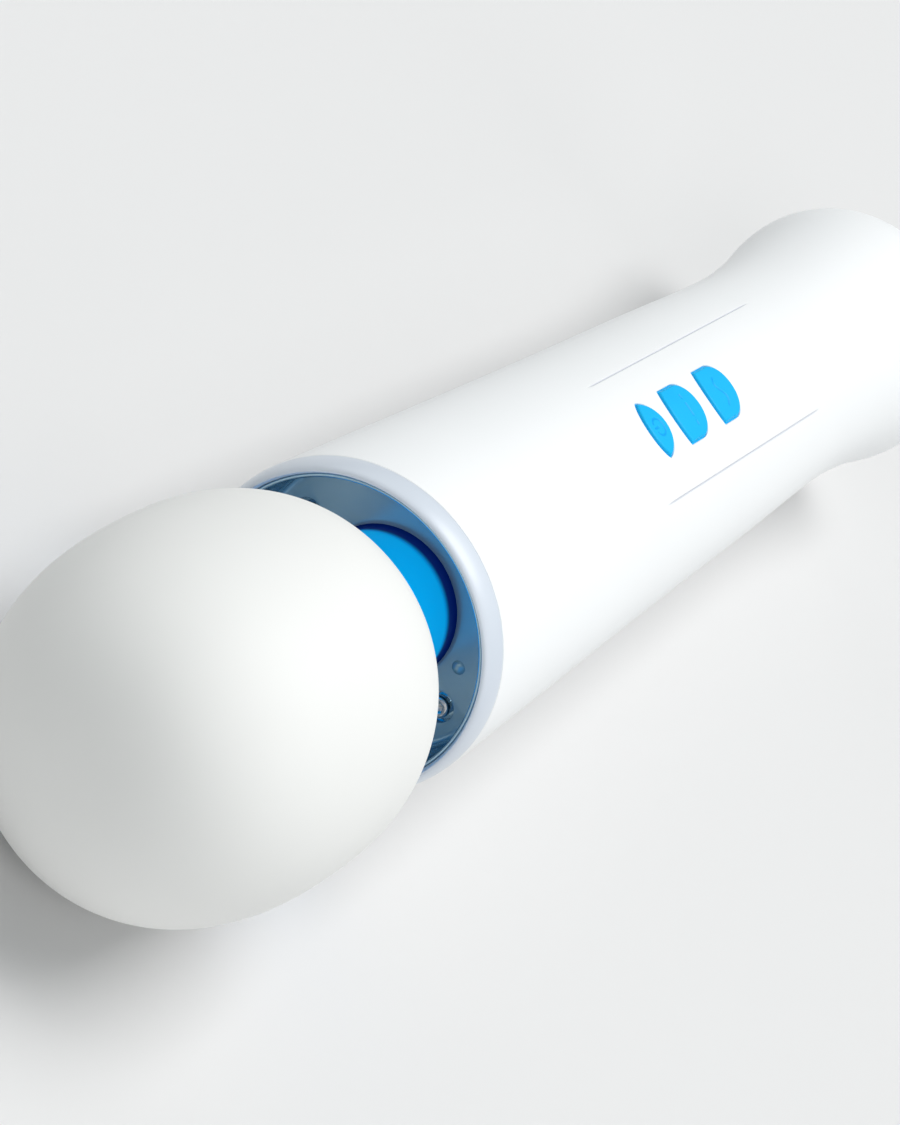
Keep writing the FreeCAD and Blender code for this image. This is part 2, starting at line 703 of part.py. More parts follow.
def make_motor():
    front = -D["motor_front"]
    back = front - D["motor_long"]
    shaft = D["motor_shaft_rad"]
    bore = shaft + D["run_gap"]
    inside = D["motor_rad"] - D["can_wall"]
    lathe("motor_can", [(front + 1.5, bore), (front + 1.5, Size.of(4.0)), (front, Size.of(4.0)),
                        (front, D["motor_rad"]), (back, D["motor_rad"]), (back, inside),
                        (front - D["can_wall"], inside), (front - D["can_wall"], bore)])
    bell = lathe("motor_end_bell", [(back, ZERO), (back, inside), (back + 2, inside), (back + 2, bore),
                                    (back + 0.8, bore), (back + 0.8, ZERO)])
    sides = (8.0, -8.0)
    rods(bell, "YZ_Plane", back + 2, [(y, 0.0) for y in sides], 1.6, 4, cut=True)
    keep("motor_terminals", [block("terminal", (back - 4, y - 1.1, -0.4), (6, 2.2, 0.8)) for y in sides])

    # Two arc magnets line the can.
    magnets = []
    for turned in (30, 210):
        about = ALONG_X.multiply(FreeCAD.Rotation(Vec(0, 0, 1), turned))
        outer = rod("magnet_outer", (back + 6, 0, 0), inside, D["motor_long"] - 11, about, 120)
        inner = rod("magnet_inner", (back + 5, 0, 0), 10.3, D["motor_long"] - 9, about)
        magnets.append(less("magnet", outer, inner))
    keep("field_magnets", magnets)

    # The armature, commutator, shaft and hub spin together.
    armature = lathe("armature", [(back + 8, shaft), (back + 8, Size.of(9.7)),
                                  (front - 7, Size.of(9.7)), (front - 7, shaft)])
    rods(armature, "YZ_Plane", front - 7, around(8.6, (0, 72, 144, 216, 288)), 1.8, 30, cut=True)
    lathe("commutator", [(back + 3.2, shaft), (back + 3.2, Size.of(3.0)),
                         (back + 7.4, Size.of(3.0)), (back + 7.4, shaft)])
    lathe("motor_shaft", [(back + 1.0, ZERO), (back + 1.0, shaft),
                          (-(D["hub_from"] + 0.5), shaft), (-(D["hub_from"] + 0.5), ZERO)])
    brushes = [block("brush", (back + 4.3, low, -1.25), (2, 4, 2.5)) for low in (3.1, -7.1)]
    keep("motor_brushes", brushes)
    make_hub("motor_hub", -1, shaft)

    # Rubber rings with round lightening holes float the motor in the shells.
    mounts = (("motor_front_mount", front - 1, 23.6), ("motor_rear_mount", back + 8, 22.9))
    for label, near, radius in mounts:
        ring = lathe(label, [(near - 6, D["motor_rad"]), (near - 6, Size.of(radius)),
                             (near, Size.of(radius)), (near, D["motor_rad"])])
        rods(ring, "YZ_Plane", near, around(18.6, range(20, 380, 45)), 2.8, 8, cut=True)


make_motor()
# A rubber tube over the two hub spigots carries the turning across the bending neck.
half_tube = D["coupling_half"]
lathe("drive_coupling", [(-half_tube, D["coupling_bore"]), (-half_tube, D["coupling_rad"]),
                         (half_tube, D["coupling_rad"]), (half_tube, D["coupling_bore"])])

# ---------------------------------------------------------------- keys, board and switches

SWITCH_BORE = 1.3
PLUNGER_RAD = 1.2


def key_middle(key):
    return -(D[f"{key}_near_mid"] + D[f"{key}_far_mid"]) / 2


def handle_radius(behind):
    """The handle's outside radius, read off between its stations."""
    for (low, r_low), (high, r_high) in zip(HANDLE_STATIONS, HANDLE_STATIONS[1:]):
        if low <= behind <= high:
            return r_low + (r_high - r_low) * (behind - low) / (high - low)
    raise ValueError(behind)


def crown(body, key, inset):
    """Trim the top of a key to the handle's own slope, moved inwards by inset."""
    near = D[f"{key}_near_mid"].value - 4
    far = D[f"{key}_far_mid"].value + 4
    sketch = new_sketch(body, "XZ_Plane")
    draw_outline(sketch, below_axis([(-near, handle_radius(near) - inset), (-near, 45.0),
                                     (-far, 45.0), (-far, handle_radius(far) - inset)]))
    add_feature(body, "PartDesign::Groove", sketch, ReferenceAxis=(sketch, ["H_Axis"]), Angle=360)


def make_key(key):
    """A key: a hidden flange under the shell, the cap that fills its window, and a stem."""
    flange_low = D["board_low"] + D["board_thick"] + D["switch_high"] + D["plunger_up"] + 0.6
    under_shell = (D["skin_wall"] + D["shell_gap"] + D["shell_wall"]).value + 0.35
    body = new_body(f"{key}_key")
    add_feature(body, "PartDesign::Pad", key_sketch(body, key, flange_low, 1.0), Length=Size.of(12))
    crown(body, key, under_shell)
    add_feature(body, "PartDesign::Pad", key_sketch(body, key, flange_low, 0), Length=Size.of(12))
    crown(body, key, -D["key_proud"].value)
    rods(body, "XY_Plane", flange_low - 0.6, [(key_middle(key), ZERO)], 1.5, 1.0)
    plunger_top = flange_low - 0.6
    keep(f"{key}_plunger", [rod("plunger", (key_middle(key), 0, plunger_top - 1.5), PLUNGER_RAD, 1.5)])


def make_electronics():
    low = D["board_low"]
    top = low + D["board_thick"]
    back = -(D["board_front"] + D["board_long"])
    sides = (D["board_long"], D["board_wide"], D["board_thick"])
    board = block("board_blank", (back, -D["board_wide"] / 2, low), sides)
    holes = [rod("board_hole", (x, y, low - 1), 1.1, 4) for x, y in BOARD_POSTS]
    keep("circuit_board", [less("board", board, *holes)])
    keep("board_screws", [screw((x, y, low), Vec(0, 0, 1), 4.8, shank=0.8, head=1.6, high=1.2)
                          for x, y in BOARD_POSTS])
    switches = []
    for key in KEYS:
        middle = key_middle(key)
        case = block("switch_case", (middle - 3, -3, top), (6, 6, D["switch_high"]))
        well = rod("switch_well", (middle, 0, top + D["switch_high"] - 1.5), SWITCH_BORE, 3)
        switches.append(less("switch", case, well))
    keep("key_switches", switches)
    keep("controller_chip", [block("chip", (-92.0, 5.0, low - 1.0), (7, 7, 1.0))])
    keep("status_light", [block("light", (-86.7, -1.0, top), (1.4, 2.0, 0.8))])


for key_name in KEYS:
    make_key(key_name)
make_electronics()

# ---------------------------------------------------------------- battery and wiring

def make_battery():
    front = -D["cell_front"]
    back = front - D["cell_long"]
    sides = (D["cell_side"], -D["cell_side"])
    keep("battery_cells", [rod("cell", (back, y, -D["cell_drop"]), D["cell_rad"], D["cell_long"], ALONG_X)
                           for y in sides])
    outer = rod("cradle_round", (back - 2, 0, 0), 20.1, D["cell_long"] + 4, ALONG_X)
    below = block("cradle_block", (back - 2, -17.5, -20.5), (D["cell_long"] + 4, 35, 15.5))
    blank = primitive("Part::Common", "cradle_blank", Base=below, Tool=outer)
    nest_rad = D["cell_rad"] + 0.05
    nest_long = D["cell_long"] + 0.8
    nests = [rod("cell_nest", (back - 0.4, y, -D["cell_drop"]), nest_rad, nest_long, ALONG_X)
             for y in sides]
    keep("battery_cradle", [less("cradle", blank, *nests)])
    strips = [block("strip", (front, y - 3, -6.0), (0.3, 6, 9)) for y in sides]
    strips.append(block("bridge", (back - 0.3, -12.0, -4.9), (0.3, 24, 5)))
    keep("battery_strips", strips)


def both_sides(label, route, radius=0.7):
    """A pair of wires, one each side of the middle plane."""
    pair = [lead([(x, y * side, z) for x, y, z in route], radius) for side in (1, -1)]
    free_shape(label, Part.makeCompound(pair))


make_battery()
both_sides("battery_leads", [(-140.7, 9.3, 1.0), (-135.5, 9.3, 1.0), (-130.5, 8.4, 4.6),
                             (-124.6, 7.0, 9.6), (-124.6, 7.0, 15.2)])
both_sides("motor_leads", [(-74.0, 8.0, 0.0), (-78.0, 8.0, 0.0), (-81.4, 7.4, 4.4),
                           (-83.0, 6.6, 9.8), (-83.0, 6.6, 15.2)])
both_sides("charge_leads", [(-221.4, 3.2, 0.0), (-214.6, 3.2, 0.0), (-208.5, 2.6, 5.6), (-200.0, 2.4, 9.0),
                            (-172.0, 2.4, 8.8), (-146.0, 2.6, 9.2), (-133.0, 3.2, 9.4),
                            (-118.0, 4.2, 10.6), (-118.0, 4.2, 15.2)])

# ---------------------------------------------------------------- tail cap and charging socket

def make_tail():
    end = -D["handle_len"]
    inner = end + D["cap_thick"]
    hole = D["dock_rad"] + D["dock_wall"]
    cap = lathe("tail_cap", [(end, hole), (end, D["cap_rad"]), (end + 1.4, D["cap_rad"]),
                             (end + 1.4, D["cap_rad"] - 1.3), (end + 3.0, D["cap_rad"] - 1.3),
                             (end + 3.0, D["cap_rad"]), (inner, D["cap_rad"]), (inner, hole)])
    places = around(CAP_SCREW_RING, CAP_SCREW_ANGLES)
    rods(cap, "YZ_Plane", end, places, 2.1, 1.7, cut=True, flip=True)
    rods(cap, "YZ_Plane", end, places, 1.1, 6, cut=True, flip=True)
    keep("tail_screws", [screw((end + 1.7, y, z), Vec(1, 0, 0), 5.8, high=1.4, head=1.9) for y, z in places])
    ring = primitive("Part::Torus", "tail_o_ring", Radius1=D["cap_rad"] - 0.6, Radius2=Size.of(0.7))
    keep("tail_seal", [place(ring, end + 2.2, 0, 0, ALONG_X)])

    # The charging socket is a puck with a shallow round dock, two flush contacts and magnets.
    floor = end + D["dock_deep"]
    flange = hole + 1.5
    seat, back = inner + 0.1, inner + 1.6
    socket = lathe("charge_socket", [(end, D["dock_rad"]), (end, hole), (seat, hole), (seat, flange),
                                     (back, flange), (back, ZERO), (floor, ZERO), (floor, D["dock_rad"])])
    sides = (D["contact_side"], -D["contact_side"])
    rods(socket, "YZ_Plane", back, [(y, ZERO) for y in sides], D["contact_rad"], 6, cut=True)
    keep("charge_contacts", [rod("contact", (floor, y, 0), D["contact_rad"], 6.4, ALONG_X) for y in sides])
    rods(socket, "YZ_Plane", back, [(ZERO, 5.2), (ZERO, -5.2)], 2.0, 2.8, cut=True)
    keep("charge_magnets", [rod("magnet_puck", (inner - 1.2, 0, z), 2.0, 2.8, ALONG_X) for z in (5.2, -5.2)])


make_tail()
doc.recompute()

# ---------------------------------------------------------------- lay the wand down

def laid_down():
    """The placement that rests the wand on its head and its foot, centred over the origin."""
    wide = D["head_rad"].value - D["station_8_radius"].value
    apart = D["head_mid"].value + D["station_8_behind"].value
    turned_by = -math.degrees(math.asin(wide / apart))
    tip = FreeCAD.Placement(Vec(0, 0, 0), FreeCAD.Rotation(Vec(0, 1, 0), turned_by))
    boxes = []
    for item in parts:
        if item.Label in ("head_cover", "handle_sleeve"):
            turned = item.Shape.copy()
            turned.Placement = tip
            boxes.append(turned.optimalBoundingBox(False))
    x_middle = (min(b.XMin for b in boxes) + max(b.XMax for b in boxes)) / 2
    low = min(b.ZMin for b in boxes)
    return FreeCAD.Placement(Vec(-x_middle, 0, -low), tip.Rotation)


LAID = laid_down()
for part in parts:
    part.Placement = LAID
doc.recompute()

# ---------------------------------------------------------------- check and write

for item in doc.Objects:
    bad = {"Invalid", "Error"} & set(item.State)
    if bad:
        raise RuntimeError(f"{item.Label}: {item.State}")
os.makedirs("parts", exist_ok=True)
for part in parts:
    shape = part.Shape
    if shape.isNull() or not shape.isValid() or not shape.Solids:
        raise RuntimeError(f"{part.Label} is not a valid solid")
for part in parts:
    part.Shape.exportStep(os.path.join("parts", f"{part.Label}.step"))
print(f"{len(parts)} sub-parts written")
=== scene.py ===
import json
import math

import bmesh
import bpy
import numpy as np
from mathutils import Matrix


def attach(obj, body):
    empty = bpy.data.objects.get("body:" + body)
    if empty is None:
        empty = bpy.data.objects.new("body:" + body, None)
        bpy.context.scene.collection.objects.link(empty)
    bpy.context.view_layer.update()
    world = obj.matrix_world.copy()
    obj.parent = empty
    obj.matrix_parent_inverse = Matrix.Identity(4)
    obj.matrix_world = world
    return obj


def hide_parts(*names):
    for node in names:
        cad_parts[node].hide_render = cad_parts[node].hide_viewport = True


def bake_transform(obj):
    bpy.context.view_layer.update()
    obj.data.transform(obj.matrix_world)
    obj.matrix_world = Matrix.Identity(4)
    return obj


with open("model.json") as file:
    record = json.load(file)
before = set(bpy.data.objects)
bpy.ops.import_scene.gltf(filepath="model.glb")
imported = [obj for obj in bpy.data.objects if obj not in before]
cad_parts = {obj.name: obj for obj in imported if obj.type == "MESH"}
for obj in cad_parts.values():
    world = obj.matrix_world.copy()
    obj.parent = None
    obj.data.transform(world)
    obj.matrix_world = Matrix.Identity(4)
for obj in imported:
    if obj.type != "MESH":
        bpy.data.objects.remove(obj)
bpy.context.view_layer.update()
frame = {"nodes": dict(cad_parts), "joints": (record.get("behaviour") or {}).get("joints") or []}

# ---------------------------------------------------------------- how the wand lies
# The wand lies on its head and its flared foot. Places below are millimetres in the wand's own
# lines: ahead of the collar plane towards the head, to its side, and up towards its keys.

JOINTS = {joint["name"]: joint for joint in frame["joints"]}
PIVOT_BEHIND = 1.75
MM = 0.001
AXIS = np.array(JOINTS["motor_spin"]["axis"])
SIDE = np.array([0.0, 1.0, 0.0])
UP = np.cross(AXIS, SIDE)
COLLAR = np.array(JOINTS["neck_pitch"]["pos_m"]) + PIVOT_BEHIND * MM * AXIS


def laid(points):
    """Metres in the frame: collar centre + ahead * axis + side * side line + up * up line."""
    points = np.asarray(points, float)
    return COLLAR + MM * (points[..., :1] * AXIS + points[..., 1:2] * SIDE + points[..., 2:] * UP)


# ---------------------------------------------------------------- motor
# A brushed motor: a drawn steel can, two arc magnets, a wound armature with its commutator, and
# carbon brushes in the end bell. Rubber rings with lightening holes float it in the shells.

class Signal:
    """An output of a finish's nodes. Arithmetic with other signals and numbers adds Math nodes."""

    def __init__(self, tree, socket=None):
        self.tree = tree
        self.socket = socket

    def node(self, kind, settings, feeds, output=0):
        """Add a node: its settings first, then a value or another signal for each input."""
        made = self.tree.nodes.new(kind)
        for name, value in settings.items():
            setattr(made, name, value)
        for name, value in feeds.items():
            if isinstance(value, Signal):
                self.tree.links.new(value.socket, made.inputs[name])
            else:
                made.inputs[name].default_value = value
        return Signal(self.tree, made.outputs[output] if made.outputs else None)

    def maths(self, operation, first, second=0.0):
        """One Math node on two values or signals."""
        return self.node("ShaderNodeMath", {"operation": operation}, {0: first, 1: second})

    def __add__(self, other):
        return self.maths("ADD", self, other)

    def __sub__(self, other):
        return self.maths("SUBTRACT", self, other)

    def __rsub__(self, other):
        return self.maths("SUBTRACT", other, self)

    def __mul__(self, other):
        return self.maths("MULTIPLY", self, other)

    __radd__ = __add__
    __rmul__ = __mul__

    def between(self, low, high):
        """0 below low, 1 above high, and a smooth step between them."""
        feeds = {"Value": self, "From Min": low, "From Max": high}
        return self.node("ShaderNodeMapRange", {"interpolation_type": "SMOOTHSTEP"}, feeds)

    def tint(self, low, high):
        """A colour that goes from low to high as this signal goes from 0 to 1."""
        feeds = {0: self, 6: opaque(low), 7: opaque(high)}
        return self.node("ShaderNodeMix", {"data_type": "RGBA"}, feeds, 2)

    def mark(self, name):
        """The number that the piece's points carry under a name, 0 where they carry none."""
        return self.node("ShaderNodeAttribute", {"attribute_name": name}, {}, 2)

    def place(self, stretch=(1.0, 1.0, 1.0)):
        """The piece's own coordinates in metres, stretched along each axis."""
        where = self.node("ShaderNodeTexCoord", {}, {}, 3)
        return self.node("ShaderNodeMapping", {}, {"Vector": where, "Scale": stretch})

    def noise(self, size_mm, detail=2.0, stretch=(1.0, 1.0, 1.0)):
        """Cloudy noise from 0 to 1 whose lumps are size_mm across."""
        feeds = {"Vector": self.place(stretch), "Scale": 1.0 / (size_mm * MM), "Detail": detail}
        return self.node("ShaderNodeTexNoise", {}, feeds)


def opaque(colour):
    """A colour with its alpha; a colour that nodes make is passed on."""
    return colour if isinstance(colour, Signal) else (*colour[:3], 1.0)


def shaded(colour, share):
    """A colour made darker or lighter."""
    return tuple(min(1.0, value * share) for value in colour)


def finish_of(name, make):
    """A material: make(nodes) gives the shader's sockets, with a height in mm for its relief."""
    material = bpy.data.materials.new(name)
    material.use_nodes = True
    tree = material.node_tree
    tree.nodes.clear()
    nodes = Signal(tree)
    sockets = make(nodes)
    height = sockets.pop("relief_mm", None)
    if height is not None:
        bump = {"Height": height, "Distance": MM, "Strength": 1.0}
        sockets["Normal"] = nodes.node("ShaderNodeBump", {}, bump)
    shader = nodes.node("ShaderNodeBsdfPrincipled", {}, sockets)
    nodes.node("ShaderNodeOutputMaterial", {}, {"Surface": shader})
    return material


def moulded(name, colour, rough, grain_mm=0.25, grain_high=0.006, cloud=0.03, **more):
    """Moulded plastic or rubber: slight clouding of its colour and gloss over a fine grain."""

    def make(nodes):
        clouds = nodes.noise(14.0)
        return {
            "Base Color": clouds.tint(shaded(colour, 1.0 - cloud), shaded(colour, 1.0 + cloud)),
            "Roughness": clouds * 0.08 + (rough - 0.04),
            "relief_mm": nodes.noise(grain_mm) * grain_high,
            **more,
        }

    return finish_of(name, make)


def metal(name, colour, rough, streak=(1.0, 12.0, 12.0), grain_mm=0.8, **more):
    """Worked metal: fine streaks, drawn out along the wand's axis, vary its colour and gloss."""

    def make(nodes):
        streaks = nodes.noise(grain_mm, 4.0, streak)
        return {
            "Base Color": streaks.tint(shaded(colour, 0.86), shaded(colour, 1.08)),
            "Roughness": streaks * 0.16 + (rough - 0.08),
            "Metallic": 1.0,
            "relief_mm": streaks * 0.004,
            **more,
        }

    return finish_of(name, make)


def finish_nodes(material, *names):
    """Give the CAD's own pieces their finish."""
    for name in names:
        slots = frame["nodes"][name].data.materials
        slots.clear()
        slots.append(material)


finish_nodes(metal("motor_steel", (0.52, 0.53, 0.55), 0.34), "motor_can")
finish_nodes(moulded("black_plastic", (0.035, 0.035, 0.038), 0.48), "motor_end_bell")
copper = metal("copper", (0.84, 0.42, 0.22), 0.26, (1.0, 6.0, 6.0), 1.2)
finish_nodes(copper, "motor_terminals", "commutator")
finish_nodes(moulded("ferrite", (0.055, 0.052, 0.055), 0.62, 0.12, 0.012, 0.2), "field_magnets")
finish_nodes(metal("ground_steel", (0.62, 0.63, 0.65), 0.2, (12.0, 1.0, 1.0)), "motor_shaft")
finish_nodes(metal("stamped_laminations", (0.44, 0.45, 0.47), 0.36, (30.0, 1.0, 1.0), 0.5), "armature")
finish_nodes(moulded("carbon", (0.02, 0.02, 0.022), 0.7, 0.08, 0.01, 0.25), "motor_brushes")
grey_rubber = moulded("grey_rubber", (0.16, 0.165, 0.17), 0.72, 0.3, 0.01)
finish_nodes(grey_rubber, "motor_front_mount", "motor_rear_mount", "drive_coupling")
finish_nodes(bpy.data.materials["black_plastic"], "motor_hub")

# ---------------------------------------------------------------- circuit board and wiring
# A green glass-fibre board on four posts under the keys, with three snap switches, a controller
# chip and a light that shows through the sleeve. Silicone leads run to the motor and the tail.

def board_green(nodes):
    """Solder mask over copper tracks: bands of noise show as slightly lighter, raised lines."""
    weave = nodes.noise(2.2, 0.0, (1.0, 0.35, 1.0))
    tracks = weave.between(0.47, 0.49) - weave.between(0.51, 0.53)
    return {
        "Base Color": tracks.tint((0.012, 0.14, 0.06), (0.03, 0.26, 0.12)),
        "Roughness": tracks * 0.1 + 0.3,
        "Coat Weight": 0.4,
        "relief_mm": tracks * 0.03,
    }


finish_nodes(finish_of("circuit_green", board_green), "circuit_board")
finish_nodes(bpy.data.materials["black_plastic"], "key_switches", "controller_chip")
screw_steel = metal("screw_steel", (0.46, 0.46, 0.48), 0.3, (8.0, 8.0, 1.0), 0.6)
finish_nodes(screw_steel, "board_screws", "shell_screws", "core_screws", "weight_screw")
clear_lens = moulded("clear_lens", (0.86, 0.88, 0.9), 0.12, 0.4, 0.002, 0.02)
finish_nodes(clear_lens, "status_light")
wire_jacket = moulded("wire_jacket", (0.42, 0.03, 0.03), 0.5, 0.2, 0.004, 0.08)
finish_nodes(wire_jacket, "battery_leads", "motor_leads", "charge_leads")

# ---------------------------------------------------------------- battery
# Two lithium cells side by side in shrink wrap, nested in a moulded cradle in the handle's lower
# half. Nickel strips are spot-welded across their ends.

def shrink_wrap(nodes):
    """Printed film: a faint ripple round the cell and a slow change of colour along it."""
    ripple = nodes.noise(3.0, 1.0, (2.0, 0.3, 0.3))
    return {
        "Base Color": ripple.tint((0.02, 0.16, 0.30), (0.03, 0.22, 0.40)),
        "Roughness": ripple * 0.1 + 0.25,
        "relief_mm": ripple * 0.05,
    }


finish_nodes(finish_of("cell_wrap", shrink_wrap), "battery_cells")
finish_nodes(bpy.data.materials["black_plastic"], "battery_cradle")
finish_nodes(metal("nickel", (0.72, 0.69, 0.62), 0.28), "battery_strips")

# ---------------------------------------------------------------- housing shells
# The hard inner housing is two moulded halves, split on the middle plane, screwed together from
# below through eight bosses. The soft sleeve is stretched over them.

white_housing = moulded("white_housing", (0.80, 0.81, 0.81), 0.42)
finish_nodes(white_housing, "upper_shell", "lower_shell")
finish_nodes(bpy.data.materials["black_plastic"], "neck_flange")

# ---------------------------------------------------------------- handle sleeve
# One seamless sleeve of soft-touch white silicone over the shells, waisted before a flared foot.
# It has openings for the three keys, and a fine line moulded either side of them. Its outline
# runs through stations, (behind the collar plane, out from the axis).

STATIONS = [
    (0.0, 29.0), (15.3, 28.55), (50.0, 27.4), (100.0, 25.95), (150.0, 24.65),
    (182.0, 24.1), (200.0, 25.35), (213.0, 27.1), (222.0, 28.3),
]
HANDLE_LONG = 229.8
FOOT_FLAT = 24.9
SKIN = 1.6
CAP_ROOM = 20.2
SLEEVE_LIP = 0.2
PANEL_LINE = {"side": 12.9, "near": 73.4, "far": 151.0, "deep": 0.2, "wide": 0.15}
KEY_HALF = 5.6
KEY_GAP = 0.35
KEY_CORNER = 2.0
KEY_TIP = 0.1
KEYS = {
    "power": (76.5, 79.2, 79.2, 83.8),
    "speed": (88.0, 89.5, 97.0, 99.8),
    "pattern": (104.7, 106.1, 113.5, 116.2),
}


def smooth_line(points, count):
    """A natural cubic spline through the points, by distance along them: its second derivatives
    solve the usual three-band system, and count places along it come back."""
    points = np.array(points, float)
    knots = np.concatenate([[0.0], np.cumsum(np.hypot(*np.diff(points, axis=0).T))])
    gaps = np.diff(knots)[:, None]
    slopes = np.diff(points, axis=0) / gaps
    inner = np.arange(1, len(points) - 1)
    system = np.eye(len(points))
    system[inner, inner - 1] = gaps[:-1, 0]
    system[inner, inner] = 2 * (gaps[:-1] + gaps[1:])[:, 0]
    system[inner, inner + 1] = gaps[1:, 0]
    wanted = np.zeros_like(points)
    wanted[inner] = 6 * np.diff(slopes, axis=0)
    bends = np.linalg.solve(system, wanted)
    along = np.linspace(0.0, knots[-1], count)
    span = np.clip(np.searchsorted(knots, along, "right") - 1, 0, len(gaps) - 1)
    gap = gaps[span]
    ahead = ((along - knots[span])[:, None]) / gap
    back = 1 - ahead
    bent = (back**3 - back) * bends[span] + (ahead**3 - ahead) * bends[span + 1]
    return back * points[span] + ahead * points[span + 1] + bent * gap**2 / 6


FLARE_BEHIND, FLARE_OUT = STATIONS[-1]
CORNER_TURNS = np.radians([30, 60, 90])
FOOT_CORNER = np.stack([FLARE_BEHIND + (HANDLE_LONG - FLARE_BEHIND) * np.sin(CORNER_TURNS),
                        FOOT_FLAT + (FLARE_OUT - FOOT_FLAT) * np.cos(CORNER_TURNS)], 1)
SIDE_LINE = smooth_line(STATIONS + FOOT_CORNER.tolist(), 900)


def handle_out(behind):
    """The handle's radius at a distance behind the collar plane."""
    return np.interp(behind, SIDE_LINE[:, 0], SIDE_LINE[:, 1])


def smooth_step(value):
    """3 value^2 - 2 value^3, from 0 to 1."""
    value = np.clip(value, 0.0, 1.0)
    return value * value * (3 - 2 * value)


def bowed(side, half, bow):
    """How far a round edge falls back at a side place: bow at half, on one circle."""
    bend = (half * half + bow * bow) / (2 * bow)
    return bend - np.sqrt(np.maximum(bend * bend - side * side, 0.0))


def key_edges(key, side, grow=0.0):
    """How far behind the collar plane a key's two edges are at a side place. The near edge is an
    arc. The far one is an arc too on a pointed key, and a rounded D on the others."""
    near_mid, near_side, far_side, far_mid = KEYS[key]
    half = KEY_HALF + grow
    side = np.clip(np.abs(side), 0.0, half)
    tip = KEY_TIP if near_side == far_side else 0.0
    near_mid = near_mid - grow
    far_mid = far_mid + grow
    near = near_mid + bowed(side, half, near_side - tip - near_mid)
    if tip:
        return near, far_mid - bowed(side, half, far_mid - far_side - tip)
    shoulder = far_side - KEY_CORNER
    power = 2.2
    return near, shoulder + (far_mid - shoulder) * (1 - (side / half) ** power) ** (1 / power)


def grid_quads(rows, columns, round_rows=False, round_columns=True):
    """Corner numbers of the cells of a grid, numbered row by row, closed in either direction."""
    row = np.arange(rows if round_rows else rows - 1)[:, None]
    column = np.arange(columns if round_columns else columns - 1)[None, :]
    below = (row + 1) % rows
    right = (column + 1) % columns
    corners = [row * columns + column, row * columns + right,
               below * columns + right, below * columns + column]
    return np.stack([np.broadcast_to(corner, (row.size, column.size)) for corner in corners], -1)


def rim(rows, columns, width):
    """Point numbers round the edge of a block of grid cells, given as (first, last) points."""
    across = np.arange(columns[0], columns[1] + 1)
    step = 1 if rows[1] > rows[0] else -1
    down = np.arange(rows[0], rows[1] + step, step)
    around = [rows[0] * width + across[:-1], down[:-1] * width + across[-1],
              rows[1] * width + across[:0:-1], down[:0:-1] * width + across[0]]
    return np.concatenate(around)


def bridge(loop, other):
    """Quads between two closed loops of as many points."""
    return np.stack([loop, np.roll(loop, -1), np.roll(other, -1), other], -1)


def new_piece(name, points, faces, finish, sharp=35.0, marks=None):
    """A closed mesh from wand places: doubles merged, faces turned outwards, edges sharper than
    an angle kept crisp. Marks are named numbers on the points, for the finish to read."""
    mesh = bpy.data.meshes.new(name)
    mesh.from_pydata(laid(points).tolist(), [], faces)
    for mark, values in (marks or {}).items():
        mesh.attributes.new(mark, "FLOAT", "POINT").data.foreach_set("value", values.astype(np.float32))
    work = bmesh.new()
    work.from_mesh(mesh)
    bmesh.ops.remove_doubles(work, verts=work.verts, dist=0.0005 * MM)
    bmesh.ops.recalc_face_normals(work, faces=work.faces)
    work.to_mesh(mesh)
    work.free()
    mesh.shade_smooth()
    mesh.set_sharp_from_angle(angle=math.radians(sharp))
    mesh.materials.append(finish)
    piece = bpy.data.objects.new(name, mesh)
    bpy.context.scene.collection.objects.link(piece)
    return piece


def settle(piece, body, slot, *nodes):
    """The piece rides on a body and hides the CAD pieces it stands for; the slot is not used."""
    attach(piece, body)
    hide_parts(*nodes)


def soft_white(nodes):
    """Matte silicone skin: a barely visible peach-skin grain, clouded by handling. The moulded
    lines are painted grey, as painted shade in their grooves."""
    clouds = nodes.noise(30.0)
    line = nodes.mark("line")
    white = clouds.tint((0.925, 0.932, 0.938), (0.945, 0.95, 0.954))
    return {
        # The grey along the panel lines is painted shade in their grooves.
        "Base Color": line.tint(white, (0.56, 0.58, 0.64)),
        "Roughness": clouds * 0.06 + 0.44,
        "Specular IOR Level": 0.35,
        "relief_mm": nodes.noise(0.16) * 0.004,
    }


KEY_COLUMNS = 19
TOP_EDGE = 14.0


def sleeve_columns():
    """The side place of every column over the top, or its share of the way round the back. Near
    the keys a column keeps one side place, so it runs straight beside them."""
    half = KEY_HALF + KEY_GAP
    key_part = half * np.sin(np.linspace(0.0, math.pi / 2, KEY_COLUMNS + 1))
    lip = half + np.array([0.04, 0.1, 0.2, 0.5])
    line = PANEL_LINE["side"] + np.linspace(-0.36, 0.36, 13)
    one_side = np.concatenate([key_part, lip, np.linspace(7.2, 12.3, 8), line, [TOP_EDGE]])
    sides = np.concatenate([-one_side[:0:-1], one_side])
    share = np.linspace(0.0, 1.0, 92)[1:-1]
    return np.concatenate([sides, np.full(share.size, TOP_EDGE)]), np.concatenate([0.0 * sides, share])


